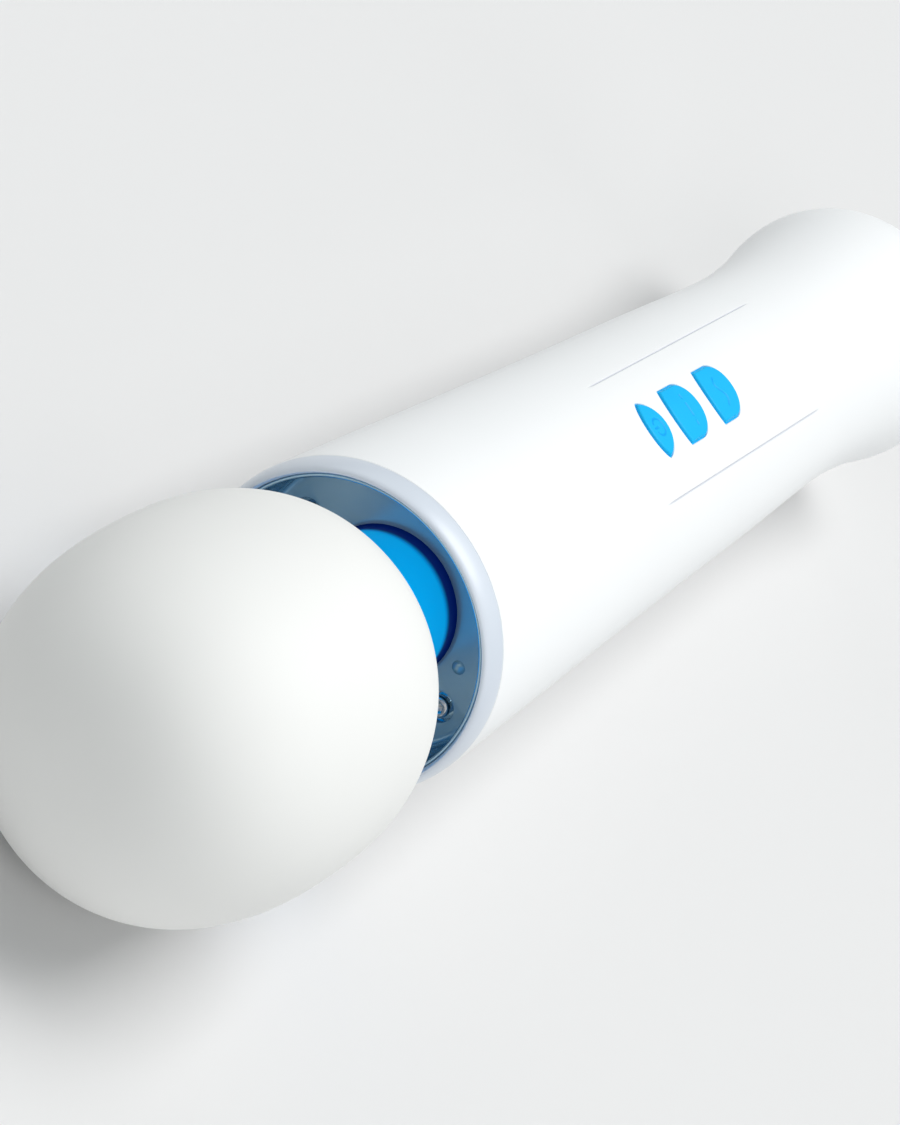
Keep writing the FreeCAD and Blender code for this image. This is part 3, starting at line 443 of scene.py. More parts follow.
def sleeve():
    """Rows of places behind the collar plane, lathed at the handle's radius. Rows near a key
    follow its edges; the outer skin dips round each opening and along the panel lines. The cells
    inside the openings are left out, and a wall joins the outer skin's edges to the inner's."""
    lateral, share = sleeve_columns()
    count = lateral.size
    half = KEY_HALF + KEY_GAP
    steps = np.array([0.9, 0.45, 0.2, 0.1, 0.04, 0.0])
    rows = [np.full(count, behind) for behind in np.arange(2.0, 75.0, 1.9)]
    openings = []
    clear_of = []
    for key in KEYS:
        near, far = key_edges(key, lateral, KEY_GAP)
        clear_of.append((near, far))
        near_mid, far_mid = KEYS[key][0] - KEY_GAP, KEYS[key][3] + KEY_GAP
        away = smooth_step((np.abs(lateral) - half) / 5.0)
        near = near + (near_mid - near) * away
        far = far + (far_mid - far) * away
        rows += [near - step for step in steps]
        near_row = len(rows) - 1
        rows += [near + (far - near) * part for part in (0.2, 0.4, 0.6, 0.8)]
        openings.append((near_row, len(rows)))
        rows += [far + step for step in steps[::-1]]
        rows.append(np.full(count, far_mid + 1.6))
    rows += [np.full(count, behind) for behind in np.arange(119.8, FLARE_BEHIND, 1.9)]
    behind = np.array(rows)
    out = handle_out(behind)
    clear = np.full(behind.shape, TOP_EDGE)
    for near, far in clear_of:
        past = np.maximum(np.maximum(near - behind, behind - far), 0.0)
        clear = np.minimum(clear, np.hypot(past, np.maximum(np.abs(lateral) - half, 0.0)))
    dip = SLEEVE_LIP * np.clip(1 - clear / SLEEVE_LIP, 0.0, 1.0) ** 2
    line = PANEL_LINE
    along = smooth_step((behind - line["near"]) / 1.2) * smooth_step((line["far"] - behind) / 1.2)
    groove = along * np.exp(-(((np.abs(lateral) - line["side"]) / line["wide"]) ** 2))
    dip += line["deep"] * groove

    def band(places, radii, lowered=0.0):
        """Rows of points at places behind the collar plane and radii, lowered inwards."""
        shape = (len(radii), count)
        radii = np.broadcast_to(np.asarray(radii, float).reshape(shape[0], -1), shape)
        places = np.broadcast_to(np.asarray(places, float).reshape(shape[0], -1), shape)
        edge = np.arcsin(TOP_EDGE / radii)
        angles = np.where(share > 0, edge + share * 2 * (math.pi - edge), np.arcsin(lateral / radii))
        out = radii - lowered
        return np.stack([-places, out * np.sin(angles), out * np.cos(angles)], -1)

    front_out = STATIONS[0][1]
    turns = np.linspace(math.pi / 2, 0.0, 5)
    front = band(SLEEVE_LIP * (1 - np.sin(turns)), front_out - SLEEVE_LIP * (1 - np.cos(turns)))
    corner = SIDE_LINE[SIDE_LINE[:, 0] > behind[-1, 0] + 0.8][::2]
    lip = [(HANDLE_LONG, FOOT_FLAT - 0.6), (HANDLE_LONG, 22.5), (HANDLE_LONG, CAP_ROOM + 0.25),
           (HANDLE_LONG - 0.08, CAP_ROOM + 0.07), (HANDLE_LONG - 0.3, CAP_ROOM),
           (HANDLE_LONG - SKIN, CAP_ROOM)]
    turns = np.linspace(math.pi / 2, 0.0, 9)
    inner_corner = band(FLARE_BEHIND + (HANDLE_LONG - SKIN - FLARE_BEHIND) * np.sin(turns),
                        FOOT_FLAT - SKIN / 2 + (FLARE_OUT - FOOT_FLAT - SKIN / 2) * np.cos(turns))
    bands = [band([0.0], [front_out - SKIN]), front, band(behind, out, dip),
             band(np.minimum(corner[:, 0], HANDLE_LONG), corner[:, 1]), band(*np.array(lip).T),
             inner_corner, band(behind, out - SKIN)[::-1]]
    points = np.concatenate(bands)
    outer_start = len(bands[0]) + len(bands[1])
    # shade marks the panel lines' grooves, which the finish paints grey as painted shade.
    shade = np.zeros(points.shape[:2])
    shade[outer_start:outer_start + len(groove)] = groove
    inner_last = len(points) - 1
    quads = grid_quads(len(points), count, round_rows=True)
    kept = np.ones(quads.shape[:2], bool)
    middle = int(np.argmin(np.abs(lateral)))
    columns = (middle - KEY_COLUMNS, middle + KEY_COLUMNS)
    walls = []
    for near_row, far_row in openings:
        over = (outer_start + near_row, outer_start + far_row)
        under = (inner_last - near_row, inner_last - far_row)
        kept[over[0]:over[1], columns[0]:columns[1]] = False
        kept[under[1]:under[0], columns[0]:columns[1]] = False
        walls.append(bridge(rim(over, columns, count), rim(under, columns, count)))
    return points.reshape(-1, 3), quads[kept].tolist() + np.concatenate(walls).tolist(), shade.ravel()


soft_white_skin = finish_of("soft_white_skin", soft_white)
points, faces, shade = sleeve()
skin = new_piece("handle_skin", points, faces, soft_white_skin, marks={"line": shade})
settle(skin, "handle", "soft_white_skin", "handle_sleeve")

# ---------------------------------------------------------------- tail cap and charging dock
# A hard white cap closes the foot, held by three socket-head screws in counterbores over a rubber
# seal. In its middle is a dished charging dock with two gold contacts.

FINE = 240
TAIL = {"cap": 20.0, "thick": 4.5, "dock": 8.0, "deep": 2.0, "socket": 9.5}
CAP_SCREWS = {"ring": 15.0, "turns": (0, 120, 240), "bore": 2.1, "deep": 1.7}
CAP_SCREW = {"head": 1.9, "high": 1.4, "shank": 1.0, "long": 5.8}
PIN = {"out": 1.15, "long": 6.4, "proud": 0.12, "side": 3.2}


def rounded(corners, steps=5):
    """An outline whose corners (ahead, out, round) become arcs: each is a curve pulled towards
    its corner, from the point one round before it to the point one round after it."""
    corners = np.array(corners, float)
    places, rounds = corners[:, :2], corners[:, 2:]
    into = places - np.roll(places, 1, 0)
    onward = np.roll(places, -1, 0) - places
    into /= np.maximum(np.linalg.norm(into, axis=1, keepdims=True), 1e-9)
    onward /= np.maximum(np.linalg.norm(onward, axis=1, keepdims=True), 1e-9)
    start = (places - into * rounds)[:, None]
    finish = (places + onward * rounds)[:, None]
    share = np.linspace(0.0, 1.0, steps)[None, :, None]
    arcs = (1 - share) ** 2 * start + 2 * share * (1 - share) * places[:, None] + share**2 * finish
    line = arcs.reshape(-1, 2)
    apart = np.linalg.norm(line - np.roll(line, 1, 0), axis=1) > 1e-6
    return line[apart]


def turned(outline, columns=FINE):
    """An outline of (ahead, out) places carried round the wand's axis, from the bottom:
    (ahead, out * sin, out * cos)."""
    outline = np.asarray(outline, float)
    angles = math.pi + np.arange(columns) * 2 * math.pi / columns
    ahead = np.broadcast_to(outline[:, :1], (len(outline), columns))
    out = outline[:, 1:]
    return np.stack([ahead, out * np.sin(angles), out * np.cos(angles)], -1)


def lathed(outline, columns=FINE):
    """The closed surface of a turned outline."""
    points = turned(outline, columns)
    quads = grid_quads(len(points), columns, round_rows=True)
    return points.reshape(-1, 3), quads.reshape(-1, 4).tolist()


def joined(*surfaces):
    """Several surfaces as one list of points and faces."""
    faces = []
    start = 0
    for points, made in surfaces:
        faces += [[corner + start for corner in face] for face in made]
        start += len(points)
    return np.concatenate([points for points, _ in surfaces]), faces


def with_recesses(outline, columns, recesses, inward):
    """A turned outline with round recesses sunk into its flat face. A recess replaces a block of
    cells (rows, columns): rings of points run from the block's edge to circles, each of a given
    radius and depth, about the recess's centre; inward is the way the depth counts."""
    points = turned(outline, columns)
    quads = grid_quads(len(points), columns, round_rows=True)
    kept = np.ones(quads.shape[:2], bool)
    flat = points.reshape(-1, 3)
    faces = []
    for rows, cells, (side, up), circles in recesses:
        kept[rows[0]:rows[1], cells[0]:cells[1]] = False
        loop = rim(rows, cells, columns)
        edge = flat[loop]
        turn = np.arctan2(edge[:, 1] - side, edge[:, 2] - up)
        for out, depth in circles:
            ahead = edge[:, 0] + inward * depth
            ring = np.stack([ahead, side + out * np.sin(turn), up + out * np.cos(turn)], -1)
            following = len(flat) + np.arange(len(ring))
            flat = np.concatenate([flat, ring])
            faces.append(bridge(loop, following))
            loop = following
    return flat, quads[kept].tolist() + np.concatenate(faces).tolist()


def socket_screw(head, high, shank, long, columns=72):
    """A screw along +ahead from under its head: a turned outline whose inner rows follow a
    hexagon, apothem / cos(angle from the middle of its side)."""
    apothem = 0.48 * head
    round_off = 0.12 * head
    turned_rows = [(-long, 0.0), (-long, shank * 0.7), (-long + 0.4, shank), (0.0, shank), (0.0, head),
                   (high - round_off, head), (high - 0.3 * round_off, head - 0.3 * round_off),
                   (high, head - round_off)]
    hexed_rows = [(high, 1.1), (high - 0.06, 1.0), (high * 0.4, 1.0), (high * 0.3, 0.0)]
    angles = np.arange(columns) * 2 * math.pi / columns
    sixth = math.pi / 3
    hexagon = apothem / np.cos((angles + sixth / 2) % sixth - sixth / 2)
    out = np.concatenate([np.array(turned_rows)[:, 1:] * np.ones(columns),
                          np.array(hexed_rows)[:, 1:] * hexagon])
    ahead = np.array(turned_rows + hexed_rows)[:, :1] * np.ones(columns)
    points = np.stack([ahead, out * np.sin(angles), out * np.cos(angles)], -1)
    return points.reshape(-1, 3), grid_quads(len(out), columns).reshape(-1, 4).tolist()


def screws_at(places, ahead, facing, **sizes):
    """One screw at each (side, up) place, its head facing ahead or behind."""
    made = []
    for side, up in places:
        points, faces = socket_screw(**sizes)
        made.append((points * (facing, 1.0, 1.0) + (ahead, side, up), faces))
    return joined(*made)


def on_ring(ring, *degrees):
    """(side, up) places on a ring; the angle counts from up towards the side."""
    turns = [math.radians(angle) for angle in degrees]
    return [(ring * math.sin(turn), ring * math.cos(turn)) for turn in turns]


def block_of(degrees, half, columns=FINE):
    """The columns of a turned outline within half of an angle, counted from up towards the side."""
    middle = round(((degrees - 180) % 360) / 360 * columns)
    return middle - half, middle + half


def tail_cap():
    """The cap's outline, with three counterbores sunk into its end face."""
    end, cap, socket = -HANDLE_LONG, TAIL["cap"], TAIL["socket"]
    face = [(end, out) for out in np.arange(12.5, 17.8, 0.5)]
    inner = [(end + TAIL["thick"], socket), (end + 0.2, socket), (end, socket + 0.2), (end, 10.8)]
    seal_groove = [(end + 1.4, cap), (end + 1.4, cap - 1.3), (end + 3.0, cap - 1.3), (end + 3.0, cap)]
    outer = [(end, cap - 0.4), (end + 0.12, cap - 0.12), (end + 0.4, cap), *seal_groove,
             (end + TAIL["thick"], cap)]
    rows = (len(inner), len(inner) + len(face) - 1)
    bore, deep, turns = CAP_SCREWS["bore"], CAP_SCREWS["deep"], CAP_SCREWS["turns"]
    circles = [(bore + 0.25, 0.0), (bore + 0.1, 0.03), (bore, 0.12), (bore, deep), (1.0, deep), (0.0, deep)]
    recesses = [(rows, block_of(degrees, 8), place, circles)
                for degrees, place in zip(turns, on_ring(CAP_SCREWS["ring"], *turns))]
    return with_recesses(inner + face + outer, FINE, recesses, 1.0)


tail_cap_plastic = moulded("tail_cap_plastic", (0.78, 0.79, 0.80), 0.38, 0.3, 0.005)
cap = new_piece("tail_end_cap", *tail_cap(), tail_cap_plastic)
settle(cap, "handle", "tail_cap_plastic", "tail_cap")
cap_places = on_ring(CAP_SCREWS["ring"], *CAP_SCREWS["turns"])
cap_screws = screws_at(cap_places, CAP_SCREWS["deep"] - HANDLE_LONG, -1.0, **CAP_SCREW)
settle(new_piece("tail_cap_screws", *cap_screws, screw_steel), "handle", "screw_steel", "tail_screws")

dock_end = -HANDLE_LONG
dock_back = dock_end + TAIL["thick"]
dock_floor = dock_end + TAIL["deep"]
dock = rounded([
    (dock_floor, 0.0, 0.0), (dock_floor, TAIL["dock"], 0.7), (dock_end, TAIL["dock"], 0.35),
    (dock_end, TAIL["socket"] - 0.05, 0.2), (dock_back + 0.1, TAIL["socket"] - 0.05, 0.0),
    (dock_back + 0.1, TAIL["socket"] + 1.5, 0.2), (dock_back + 1.6, TAIL["socket"] + 1.5, 0.2),
    (dock_back + 1.6, 0.0, 0.0),
])
dock_plastic = bpy.data.materials["black_plastic"]
settle(new_piece("charging_dish", *lathed(dock), dock_plastic), "handle", "black_plastic", "charge_socket")
pin_end = dock_floor - PIN["proud"]
pin_root = dock_floor + PIN["long"]
pin = rounded([(pin_end, 0.0, 0.0), (pin_end, PIN["out"], 0.15),
               (pin_root, PIN["out"], 0.0), (pin_root, 0.0, 0.0)])
points, faces = lathed(pin, columns=48)
pins = joined(*[(points + (0.0, side, 0.0), faces) for side in (PIN["side"], -PIN["side"])])
gold_plate = metal("gold_plate", (0.95, 0.68, 0.28), 0.2)
settle(new_piece("charging_pins", *pins, gold_plate), "handle", "gold_plate", "charge_contacts")
black_seal = moulded("black_seal", (0.02, 0.02, 0.022), 0.5, 0.2, 0.003)
finish_nodes(black_seal, "tail_seal", "collar_seal")
finish_nodes(bpy.data.materials["ferrite"], "charge_magnets")

# ---------------------------------------------------------------- collar plate and its screws
# A deep dish of chrome closes the front of the handle round the neck. Its dark blue-grey colour is
# painted reflection. Two hex-socket screws in counterbores pull it against the flange behind,
# and a round dimple shows where the mould fed it.

PLATE = {"floor": -13.0, "thick": 2.2, "hole": 13.7, "out": 26.85, "wall": 26.1, "rim": 3.6, "fillet": 2.0}
PLATE_SCREWS = {"ring": 20.0, "turn": 98.0, "bore": 2.85, "deep": 1.2}
PLATE_SCREW = {"head": 2.0, "high": 1.8, "shank": 1.0, "long": 4.6}
DIMPLE = {"ring": 17.0, "turn": 73.0, "out": 1.25, "deep": 0.8}
PLATE_COLUMNS = 360


def collar_plate():
    """The dish's outline: hole, flat floor, quarter-circle fillet, wall and half-round rim. The
    counterbores and the dimple are sunk into the floor."""
    floor, fillet = PLATE["floor"], PLATE["fillet"]
    back = floor - PLATE["thick"]
    face = [(floor, out) for out in np.arange(15.4, 23.5, 0.4)]
    inner = [(back, PLATE["hole"]), (floor - 0.3, PLATE["hole"]), (floor - 0.09, PLATE["hole"] + 0.09),
             (floor, PLATE["hole"] + 0.3), (floor, 14.6)]
    turn = np.linspace(0.0, math.pi / 2, 9)
    curve = np.stack([floor + fillet * (1 - np.cos(turn)), PLATE["wall"] - fillet * (1 - np.sin(turn))], 1)
    half_rim = (PLATE["out"] - PLATE["wall"]) / 2
    over = np.linspace(math.pi, 0.0, 9)
    rim_line = np.stack([PLATE["rim"] - half_rim + half_rim * np.sin(over),
                         PLATE["wall"] + half_rim + half_rim * np.cos(over)], 1)
    wall = [(ahead, PLATE["wall"]) for ahead in np.linspace(floor + fillet + 1.5, PLATE["rim"] - 1.5, 6)]
    outline = inner + face + curve.tolist() + wall + rim_line.tolist() + [(back, PLATE["out"])]
    start = len(inner)
    bore, deep = PLATE_SCREWS["bore"], PLATE_SCREWS["deep"]
    bore_circles = [(bore + 0.2, 0.0), (bore + 0.06, 0.04), (bore, 0.15), (bore, deep),
                    (1.2, deep), (0.0, deep)]
    share = np.linspace(0.0, math.pi / 2, 7)
    bowl = zip(DIMPLE["out"] * np.cos(share), DIMPLE["deep"] * np.sin(share))
    dimple_circles = [(DIMPLE["out"] + 0.15, 0.0), *bowl]
    recesses = []
    for degrees in (PLATE_SCREWS["turn"], -PLATE_SCREWS["turn"]):
        cells = block_of(degrees, 10, PLATE_COLUMNS)
        place = on_ring(PLATE_SCREWS["ring"], degrees)[0]
        recesses.append(((start + 3, start + 20), cells, place, bore_circles))
    cells = block_of(DIMPLE["turn"], 6, PLATE_COLUMNS)
    place = on_ring(DIMPLE["ring"], DIMPLE["turn"])[0]
    recesses.append(((start, start + 8), cells, place, dimple_circles))
    return with_recesses(outline, PLATE_COLUMNS, recesses, -1.0)


def chromed(nodes):
    """Chrome over moulded plastic, its base colour darkened to blue-grey as painted reflection of the
    shaded head and the blue neck: satin on the floor of the dish, bright on its wall, rim and
    bores, with a faint orange-peel and a few dull patches where fingers have been."""
    polish = nodes.mark("polish")
    peel = nodes.noise(7.0, 1.0)
    smears = nodes.noise(18.0, 3.0).between(0.5, 0.75)
    return {
        # The dark blue-grey base colour is painted reflection of the shaded head and the blue neck.
        "Base Color": polish.tint((0.38, 0.54, 0.60), (0.36, 0.52, 0.62)),
        "Metallic": polish * 0.6 + 0.4,
        "Roughness": smears * 0.06 + (1 - polish) * 0.1 + 0.08,
        "relief_mm": peel * 0.012,
    }


chromed_dish = finish_of("chromed_dish", chromed)
points, faces = collar_plate()
above = points[:, 0] - PLATE["floor"]
polish = np.clip((above - 0.4) / 0.8, 0.0, 1.0) + np.clip((-above - DIMPLE["deep"]) / 0.1, 0.0, 1.0)
dish = new_piece("chromed_plate", points, faces, chromed_dish, marks={"polish": polish})
settle(dish, "handle", "chromed_dish", "collar_plate")
polished_screw = metal("polished_screw", (0.66, 0.69, 0.72), 0.13, (1.0, 1.0, 1.0), 0.9)
plate_places = on_ring(PLATE_SCREWS["ring"], PLATE_SCREWS["turn"], -PLATE_SCREWS["turn"])
plate_screws = screws_at(plate_places, PLATE["floor"] - PLATE_SCREWS["deep"], 1.0, **PLATE_SCREW)
screws = new_piece("chromed_plate_screws", *plate_screws, polished_screw)
settle(screws, "handle", "polished_screw", "plate_screws")

# ---------------------------------------------------------------- collar ring
# A satin lavender-grey ring, crowned on its outside, caps the sleeve's front edge and grips the
# chromed dish inside it.

RING = {"out": 29.0, "high": 4.75, "bore": 27.3, "shoulder": 27.6, "grip": 26.9, "grip_at": 3.6}


def collar_ring():
    """The ring's outline: a quarter ellipse crown from the sleeve's edge to a narrow front land,
    then a chamfer down to the dish. Its corners are rounded."""
    turn = np.linspace(0.12, math.pi / 2, 16)
    crown = np.stack([RING["high"] * np.sin(turn),
                      RING["shoulder"] + (RING["out"] - RING["shoulder"]) * np.cos(turn)], 1)
    edge = [(0.05, RING["grip"]), (0.0, RING["grip"] + 0.05), (0.0, RING["out"] - 0.22),
            (0.04, RING["out"] - 0.1), (0.18, RING["out"] - 0.02)]
    front = [(RING["high"] - 0.02, RING["bore"] + 0.08), (RING["high"] - 0.12, RING["bore"]),
             (RING["grip_at"] + 0.1, RING["grip"] + 0.04), (RING["grip_at"], RING["grip"])]
    return edge + crown.tolist() + front


def satin(nodes):
    """Satin paint: a very fine, even orange-peel with a soft clear coat."""
    clouds = nodes.noise(20.0)
    return {
        "Base Color": clouds.tint((0.66, 0.71, 0.79), (0.69, 0.74, 0.81)),
        "Roughness": clouds * 0.06 + 0.33,
        "Coat Weight": 0.25,
        "Coat Roughness": 0.3,
        "relief_mm": nodes.noise(0.5) * 0.003,
    }


satin_ring = finish_of("satin_ring", satin)
ring = new_piece("satin_collar_ring", *lathed(collar_ring(), columns=320), satin_ring)
settle(ring, "handle", "satin_ring", "collar_ring")

# ---------------------------------------------------------------- neck
# A thick blue silicone tube lets the head bend on the handle. Its end beads are clamped behind
# the collar plate and inside the head, and steel hoops keep it round.

NECK = {"out": 13.4, "bore": 9.5, "bead": 15.5, "round": 0.3}
NECK_ENDS = {"low": -17.9, "low_bead_end": -15.5, "high_bead_start": 16.2, "high": 18.4}
PIVOT = -PIVOT_BEHIND
BEND_FROM = PLATE["floor"]
BEND_TO = 9.5


def neck_half(lower, upper, bead_from, bead_to):
    """A closed outline: the bead, the outside ahead of the bead, and the bore back. The front
    half has its bead at its end, so behind that bead its outside is a cone from the bore."""
    out, bore, bead, corner = NECK["out"], NECK["bore"], NECK["bead"], NECK["round"]
    knob = [(bead_from, bead - corner), (bead_from + corner, bead),
            (bead_to - corner, bead), (bead_to, bead - corner)]
    outside = [(ahead, out) for ahead in np.linspace(bead_to, upper, 40)]
    inside = [(ahead, bore) for ahead in np.linspace(upper, lower, 24)]
    return knob + outside + inside


def azure(nodes):
    """Dyed silicone with painted light from its emission, a glow that lifts it in the dish's shade,
    and a painted navy shade where the tube goes down into the plate."""
    ahead = nodes.mark("ahead_mm")
    clouds = nodes.noise(9.0)
    bright = clouds.tint((0.0, 0.50, 0.96), (0.0, 0.54, 1.0))
    # clear is 0 in the painted navy shade where the tube meets the plate and 1 clear of it.
    clear = (ahead - PLATE["floor"]).between(1.6, 3.8)
    return {
        "Base Color": clear.tint((0.0, 0.012, 0.16), bright),
        "Roughness": clouds * 0.08 + 0.46,
        "Specular IOR Level": 0.2,
        # The emission is painted light: a glow that brightens the neck in the dish's shade.
        "Emission Color": clear.tint((0.0, 0.005, 0.05), (0.0, 0.21, 0.44)),
        "Emission Strength": 1.0,
        "relief_mm": nodes.noise(0.2) * 0.004,
    }


blue_silicone = finish_of("blue_silicone", azure)


def neck_piece(name, outline, start, end):
    """One half of the neck, baked in place, hiding the CAD neck. The places ahead where its bend would
    start and end are worked out but not used.
    """
    points, faces = lathed(outline, columns=200)
    piece = new_piece(name, points, faces, blue_silicone, marks={"ahead_mm": points[:, 0]})
    laid([start, 0.0, 0.0])
    laid([end, 0.0, 0.0])
    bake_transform(piece)
    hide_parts("neck_sleeve")


low, high = NECK_ENDS["low"], NECK_ENDS["high"]
lower_half = neck_half(low, PIVOT, low, NECK_ENDS["low_bead_end"])
upper_half = neck_half(PIVOT, high, NECK_ENDS["high_bead_start"], high)
neck_piece("neck_tube_lower", lower_half, BEND_FROM, PIVOT)
neck_piece("neck_tube_upper", upper_half, PIVOT, BEND_TO)
finish_nodes(metal("spring_steel", (0.42, 0.43, 0.45), 0.28), "neck_hoops")

# ---------------------------------------------------------------- head drive
# Inside the head a shaft runs in two bronze bushes in the core's webs. A half-round steel weight
# is held on it by a set screw, off centre, and shakes the head as it spins.

def bronze(nodes):
    """Sintered bronze: oil-dark pores all over a dull gold metal."""
    pores = nodes.noise(0.35, 1.0).between(0.58, 0.68)
    return {
        "Base Color": pores.tint((0.55, 0.36, 0.16), (0.16, 0.10, 0.05)),
        "Metallic": 1.0,
        "Roughness": pores * 0.3 + 0.36,
        "relief_mm": pores * -0.02,
    }


finish_nodes(finish_of("sintered_bronze", bronze), "rear_bush", "front_bush")
core_plastic = moulded("core_plastic", (0.12, 0.125, 0.13), 0.5, 0.3, 0.008)
finish_nodes(core_plastic, "head_core_upper", "head_core_lower")
finish_nodes(bpy.data.materials["black_plastic"], "head_hub")
finish_nodes(bpy.data.materials["ground_steel"], "eccentric_shaft", "eccentric_weight")

# ---------------------------------------------------------------- head cover
# A thick cup of matte, warm white silicone is stretched over the core from the front. It has no
# seam, and an opening at the back for the neck.

HEAD = {"out": 32.2, "middle": 42.1, "front": 40.9, "back": 34.2, "power": 2.5, "mouth": 14.0, "wall": 2.5}


def head_line(inset, turns):
    """A superellipse: middle + reach * cos^(2/power) ahead and out * sin^(2/power) out, where the
    reach is the front's or the back's."""
    power = 2 / HEAD["power"]
    reach = np.where(np.cos(turns) > 0, HEAD["front"], HEAD["back"]) - inset
    ahead = HEAD["middle"] + reach * np.sign(np.cos(turns)) * np.abs(np.cos(turns)) ** power
    return np.stack([ahead, (HEAD["out"] - inset) * np.abs(np.sin(turns)) ** power], 1)


def mouth_turn(inset):
    """The turn at which the back of the head is as wide as its mouth."""
    return math.pi - math.asin((HEAD["mouth"] / (HEAD["out"] - inset)) ** (HEAD["power"] / 2))


def head_cover():
    """The outer line from the mouth to the front, then the inner line back, with a round lip."""
    wall = HEAD["wall"]
    spread = np.linspace(0.0, 1.0, 110) ** 1.25
    outer = head_line(0.0, mouth_turn(0.0) * (1 - spread))
    inner = head_line(wall, mouth_turn(wall) * np.linspace(0.0, 1.0, 48))
    outer[-1, 1] = inner[0, 1] = 0.0
    lip = np.linspace(0.15, 0.85, 5)
    back, front = outer[0], inner[-1]
    middle = back + (front - back) * lip[:, None]
    middle[:, 1] -= 0.25 * np.sin(lip * math.pi)
    return np.concatenate([outer, inner, middle[::-1]])


def warm_silicone(nodes):
    """Matte silicone with a powdery bloom: a very fine grain and soft clouds."""
    clouds = nodes.noise(24.0)
    return {
        "Base Color": clouds.tint((0.85, 0.845, 0.825), (0.88, 0.875, 0.855)),
        "Roughness": clouds * 0.06 + 0.56,
        "Specular IOR Level": 0.3,
        "Sheen Weight": 0.08,
        "relief_mm": nodes.noise(0.2) * 0.004,
    }


head_silicone = finish_of("head_silicone", warm_silicone)
cup = new_piece("head_cup", *lathed(head_cover(), columns=256), head_silicone)
settle(cup, "head", "head_silicone", "head_cover")

# ---------------------------------------------------------------- keys
# Three sky-blue silicone keys stand a little proud of the sleeve: power, speed and pattern. Their
# edges are rounded, their signs are moulded in, and a thin web under the sleeve's edge nearly
# fills the gap round them. Each presses a snap switch through a stem.

KEY_PROUD = 0.4
KEY_ROUND = 0.5
KEY_SKIRT = 3.4
KEY_WEB = {"wide": 0.27, "under": 0.28, "thick": 0.5}
KEY_CELLS = 112
SIGN_DEEP = 0.16
SIGN_WIDE = 0.2
POWER_RING = 1.75
WAVE = {"high": 0.95, "half": 3.0}


def power_sign(back, side):
    """Distance from a ring with a gap towards the head, and from a short bar in the gap."""
    ring = np.abs(np.hypot(back, side) - POWER_RING)
    gap = (np.abs(side) < 0.75) & (back < 0)
    bar = np.hypot(np.maximum(np.abs(back + 1.0) - 0.75, 0.0), side)
    return np.minimum(np.where(gap, 9.0, ring), bar)


def speed_sign(back, side):
    """Distance from a long bar across the key with a short one either side of it."""
    long_bar = np.maximum(np.abs(side) - 1.3, 0.0)
    short_bars = np.maximum(np.abs(np.abs(side) - 2.9) - 0.35, 0.0)
    return np.hypot(back - 0.9, np.minimum(long_bar, short_bars))


def pattern_sign(back, side):
    """Distance from one wave of a sine line that runs across the key."""
    high, half = WAVE["high"], WAVE["half"]
    turn = side * math.pi / half
    slope = high * math.pi / half * np.cos(turn)
    beyond = np.maximum(np.abs(side) - half, 0.0)
    return np.hypot((back - high * np.sin(turn)) / np.hypot(1.0, slope), beyond)


SIGNS = {"power": power_sign, "speed": speed_sign, "pattern": pattern_sign}


def key_cap(key):
    """The top is the handle's own round, proud of it by KEY_PROUD, less a quarter-round along its
    edge and less the sign's groove. The rim drops to a skirt, closed underneath by one face, with
    a thin web round it that nearly fills the sleeve's opening."""
    rows, columns = KEY_CELLS, KEY_CELLS
    share = np.linspace(0.0, 1.0, rows)
    share = (share + smooth_step(share)) / 2
    side = KEY_HALF * np.sin(np.linspace(-math.pi / 2, math.pi / 2, columns))
    near, far = key_edges(key, side)
    side = np.broadcast_to(side, (rows, columns))
    behind = near + (far - near) * share[:, None]
    near_tilt = np.hypot(1.0, np.gradient(near, side[0]))
    far_tilt = np.hypot(1.0, np.gradient(far, side[0]))
    inside = np.minimum((behind - near) / near_tilt, (far - behind) / far_tilt)
    inside = np.clip(np.minimum(inside, KEY_HALF - np.abs(side)), 0.0, KEY_ROUND)
    drop = KEY_ROUND - np.sqrt(KEY_ROUND**2 - (KEY_ROUND - inside) ** 2)
    middle = (KEYS[key][0] + KEYS[key][3]) / 2
    sign = np.exp(-((SIGNS[key](behind - middle, side) / SIGN_WIDE) ** 2))
    out = handle_out(behind) + KEY_PROUD
    up = np.sqrt(out**2 - side**2) - drop - SIGN_DEEP * sign
    top = np.stack([-behind, side, up], -1).reshape(-1, 3)
    loop = rim((0, rows - 1), (0, columns - 1), columns)
    edge = top[loop]
    along = np.roll(edge, -1, 0) - np.roll(edge, 1, 0)
    outward = np.stack([along[:, 1], -along[:, 0], 0.0 * along[:, 0]], 1)
    outward /= np.linalg.norm(outward, axis=1, keepdims=True)
    wide, under = KEY_WEB["wide"], KEY_WEB["under"]
    web_foot = under + KEY_WEB["thick"]
    steps = [(0.0, under), (wide, under + 0.03), (wide, web_foot), (0.0, web_foot + 0.03), (0.0, KEY_SKIRT)]
    rings = [edge + outward * grown - (0.0, 0.0, depth) for grown, depth in steps]
    faces = grid_quads(rows, columns, round_columns=False).reshape(-1, 4).tolist()
    start = len(top)
    for ring in rings:
        following = start + np.arange(len(ring))
        faces += bridge(loop, following).tolist()
        start += len(ring)
        loop = following
    faces.append(loop.tolist())
    points = np.concatenate([top, *rings])
    return points, faces, np.pad(sign.ravel(), (0, len(points) - len(top)))


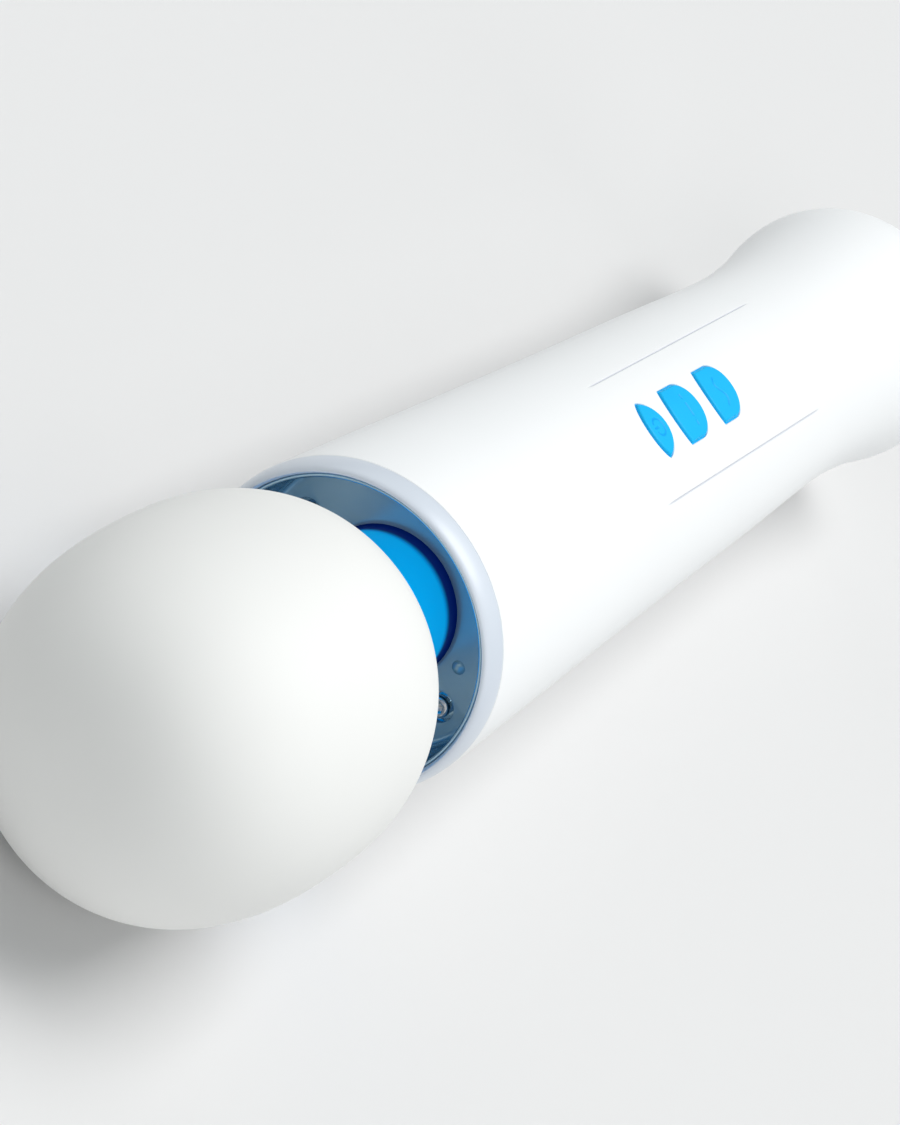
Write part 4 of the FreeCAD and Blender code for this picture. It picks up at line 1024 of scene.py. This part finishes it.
def sky_blue(nodes):
    """Dyed silicone with a soft gloss; the moulded signs are painted a darker blue, as painted shade in
    their grooves.
    """
    sign = nodes.mark("sign")
    clouds = nodes.noise(6.0)
    sky = clouds.tint((0.004, 0.46, 0.88), (0.006, 0.49, 0.91))
    return {
        # The darker blue in the signs is painted shade in their grooves.
        "Base Color": sign.tint(sky, (0.0, 0.36, 0.86)),
        "Roughness": clouds * 0.06 + 0.44,
        "Specular IOR Level": 0.2,
        "relief_mm": nodes.noise(0.16) * 0.003,
    }


blue_key = finish_of("blue_key", sky_blue)
for key in KEYS:
    points, faces, sign = key_cap(key)
    button = new_piece(f"{key}_button", points, faces, blue_key, marks={"sign": sign})
    settle(button, f"{key}_key", "blue_key", f"{key}_key")
    finish_nodes(bpy.data.materials["black_plastic"], f"{key}_plunger")

# ---------------------------------------------------------------- floor, light and camera
# A plain pale floor, one broad overhead softbox with fainter ones round it, and a pale room.

FLOOR_HALF = 6.0
corners = [(-FLOOR_HALF, -FLOOR_HALF, 0.0), (FLOOR_HALF, -FLOOR_HALF, 0.0),
           (FLOOR_HALF, FLOOR_HALF, 0.0), (-FLOOR_HALF, FLOOR_HALF, 0.0)]
floor_mesh = bpy.data.meshes.new("floor")
floor_mesh.from_pydata(corners, [], [(0, 1, 2, 3)])


def painted_floor(nodes):
    """Matte paint, all but even."""
    clouds = nodes.noise(400.0)
    return {
        "Base Color": clouds.tint((0.715, 0.708, 0.705), (0.725, 0.718, 0.715)),
        "Roughness": 0.9,
        "Specular IOR Level": 0.1,
    }


floor_mesh.materials.append(finish_of("pale_floor", painted_floor))
floor = bpy.data.objects.new("floor", floor_mesh)
bpy.context.scene.collection.objects.link(floor)


def softbox(name, place, aim, size, power):
    """A square area light at a place, facing its aim."""
    light = bpy.data.lights.new(name, "AREA")
    light.shape = "SQUARE"
    light.size = size
    light.energy = power
    lamp = bpy.data.objects.new(name, light)
    back = np.array(place, float) - np.array(aim, float)
    back /= np.linalg.norm(back)
    across = np.cross((0.0, 1.0, 0.001), back)
    across /= np.linalg.norm(across)
    upward = np.cross(back, across)
    turn = np.eye(4)
    turn[:3, :3] = np.stack([across, upward, back], 1)
    turn[:3, 3] = place
    lamp.matrix_world = Matrix(turn.tolist())
    bpy.context.scene.collection.objects.link(lamp)


softbox("overhead_softbox", (-0.8, 0.1, 3.1), (0.0, 0.0, 0.0), 2.2, 90.0)
softbox("side_softbox", (0.3, 2.6, 1.1), (0.0, 0.0, 0.0), 1.8, 12.0)
softbox("far_softbox", (-0.6, -2.5, 1.3), (0.0, 0.0, 0.0), 1.8, 8.0)
softbox("front_softbox", (1.3, 0.6, 1.2), (0.0, 0.0, 0.05), 0.8, 6.0)
world = bpy.data.worlds.new("room")
world.use_nodes = True
world.node_tree.nodes["Background"].inputs["Color"].default_value = (0.86, 0.97, 1.0, 1.0)
world.node_tree.nodes["Background"].inputs["Strength"].default_value = 0.24
bpy.context.scene.world = world
bpy.context.scene.view_settings.view_transform = "Standard"

# The camera stands ahead of the wand, a little to its side and above it.
CAMERA_PLACE = (467.9, 21.3, 316.4)
CAMERA_RIGHT = (-0.45654, 0.56001, 0.69134)
CAMERA_UP = (-0.27224, -0.82771, 0.49069)
CAMERA_LENS = 108.8
lens = bpy.data.cameras.new("camera")
lens.lens = CAMERA_LENS
lens.clip_start = 0.01
camera = bpy.data.objects.new("camera", lens)
wand_lines = np.stack([AXIS, SIDE, UP], 1)
right = wand_lines @ np.array(CAMERA_RIGHT)
above = wand_lines @ np.array(CAMERA_UP)
view = np.eye(4)
view[:3, :3] = np.stack([right, above, np.cross(right, above)], 1)
view[:3, 3] = laid(CAMERA_PLACE)
camera.matrix_world = Matrix(view.tolist())
bpy.context.scene.collection.objects.link(camera)
bpy.context.scene.camera = camera
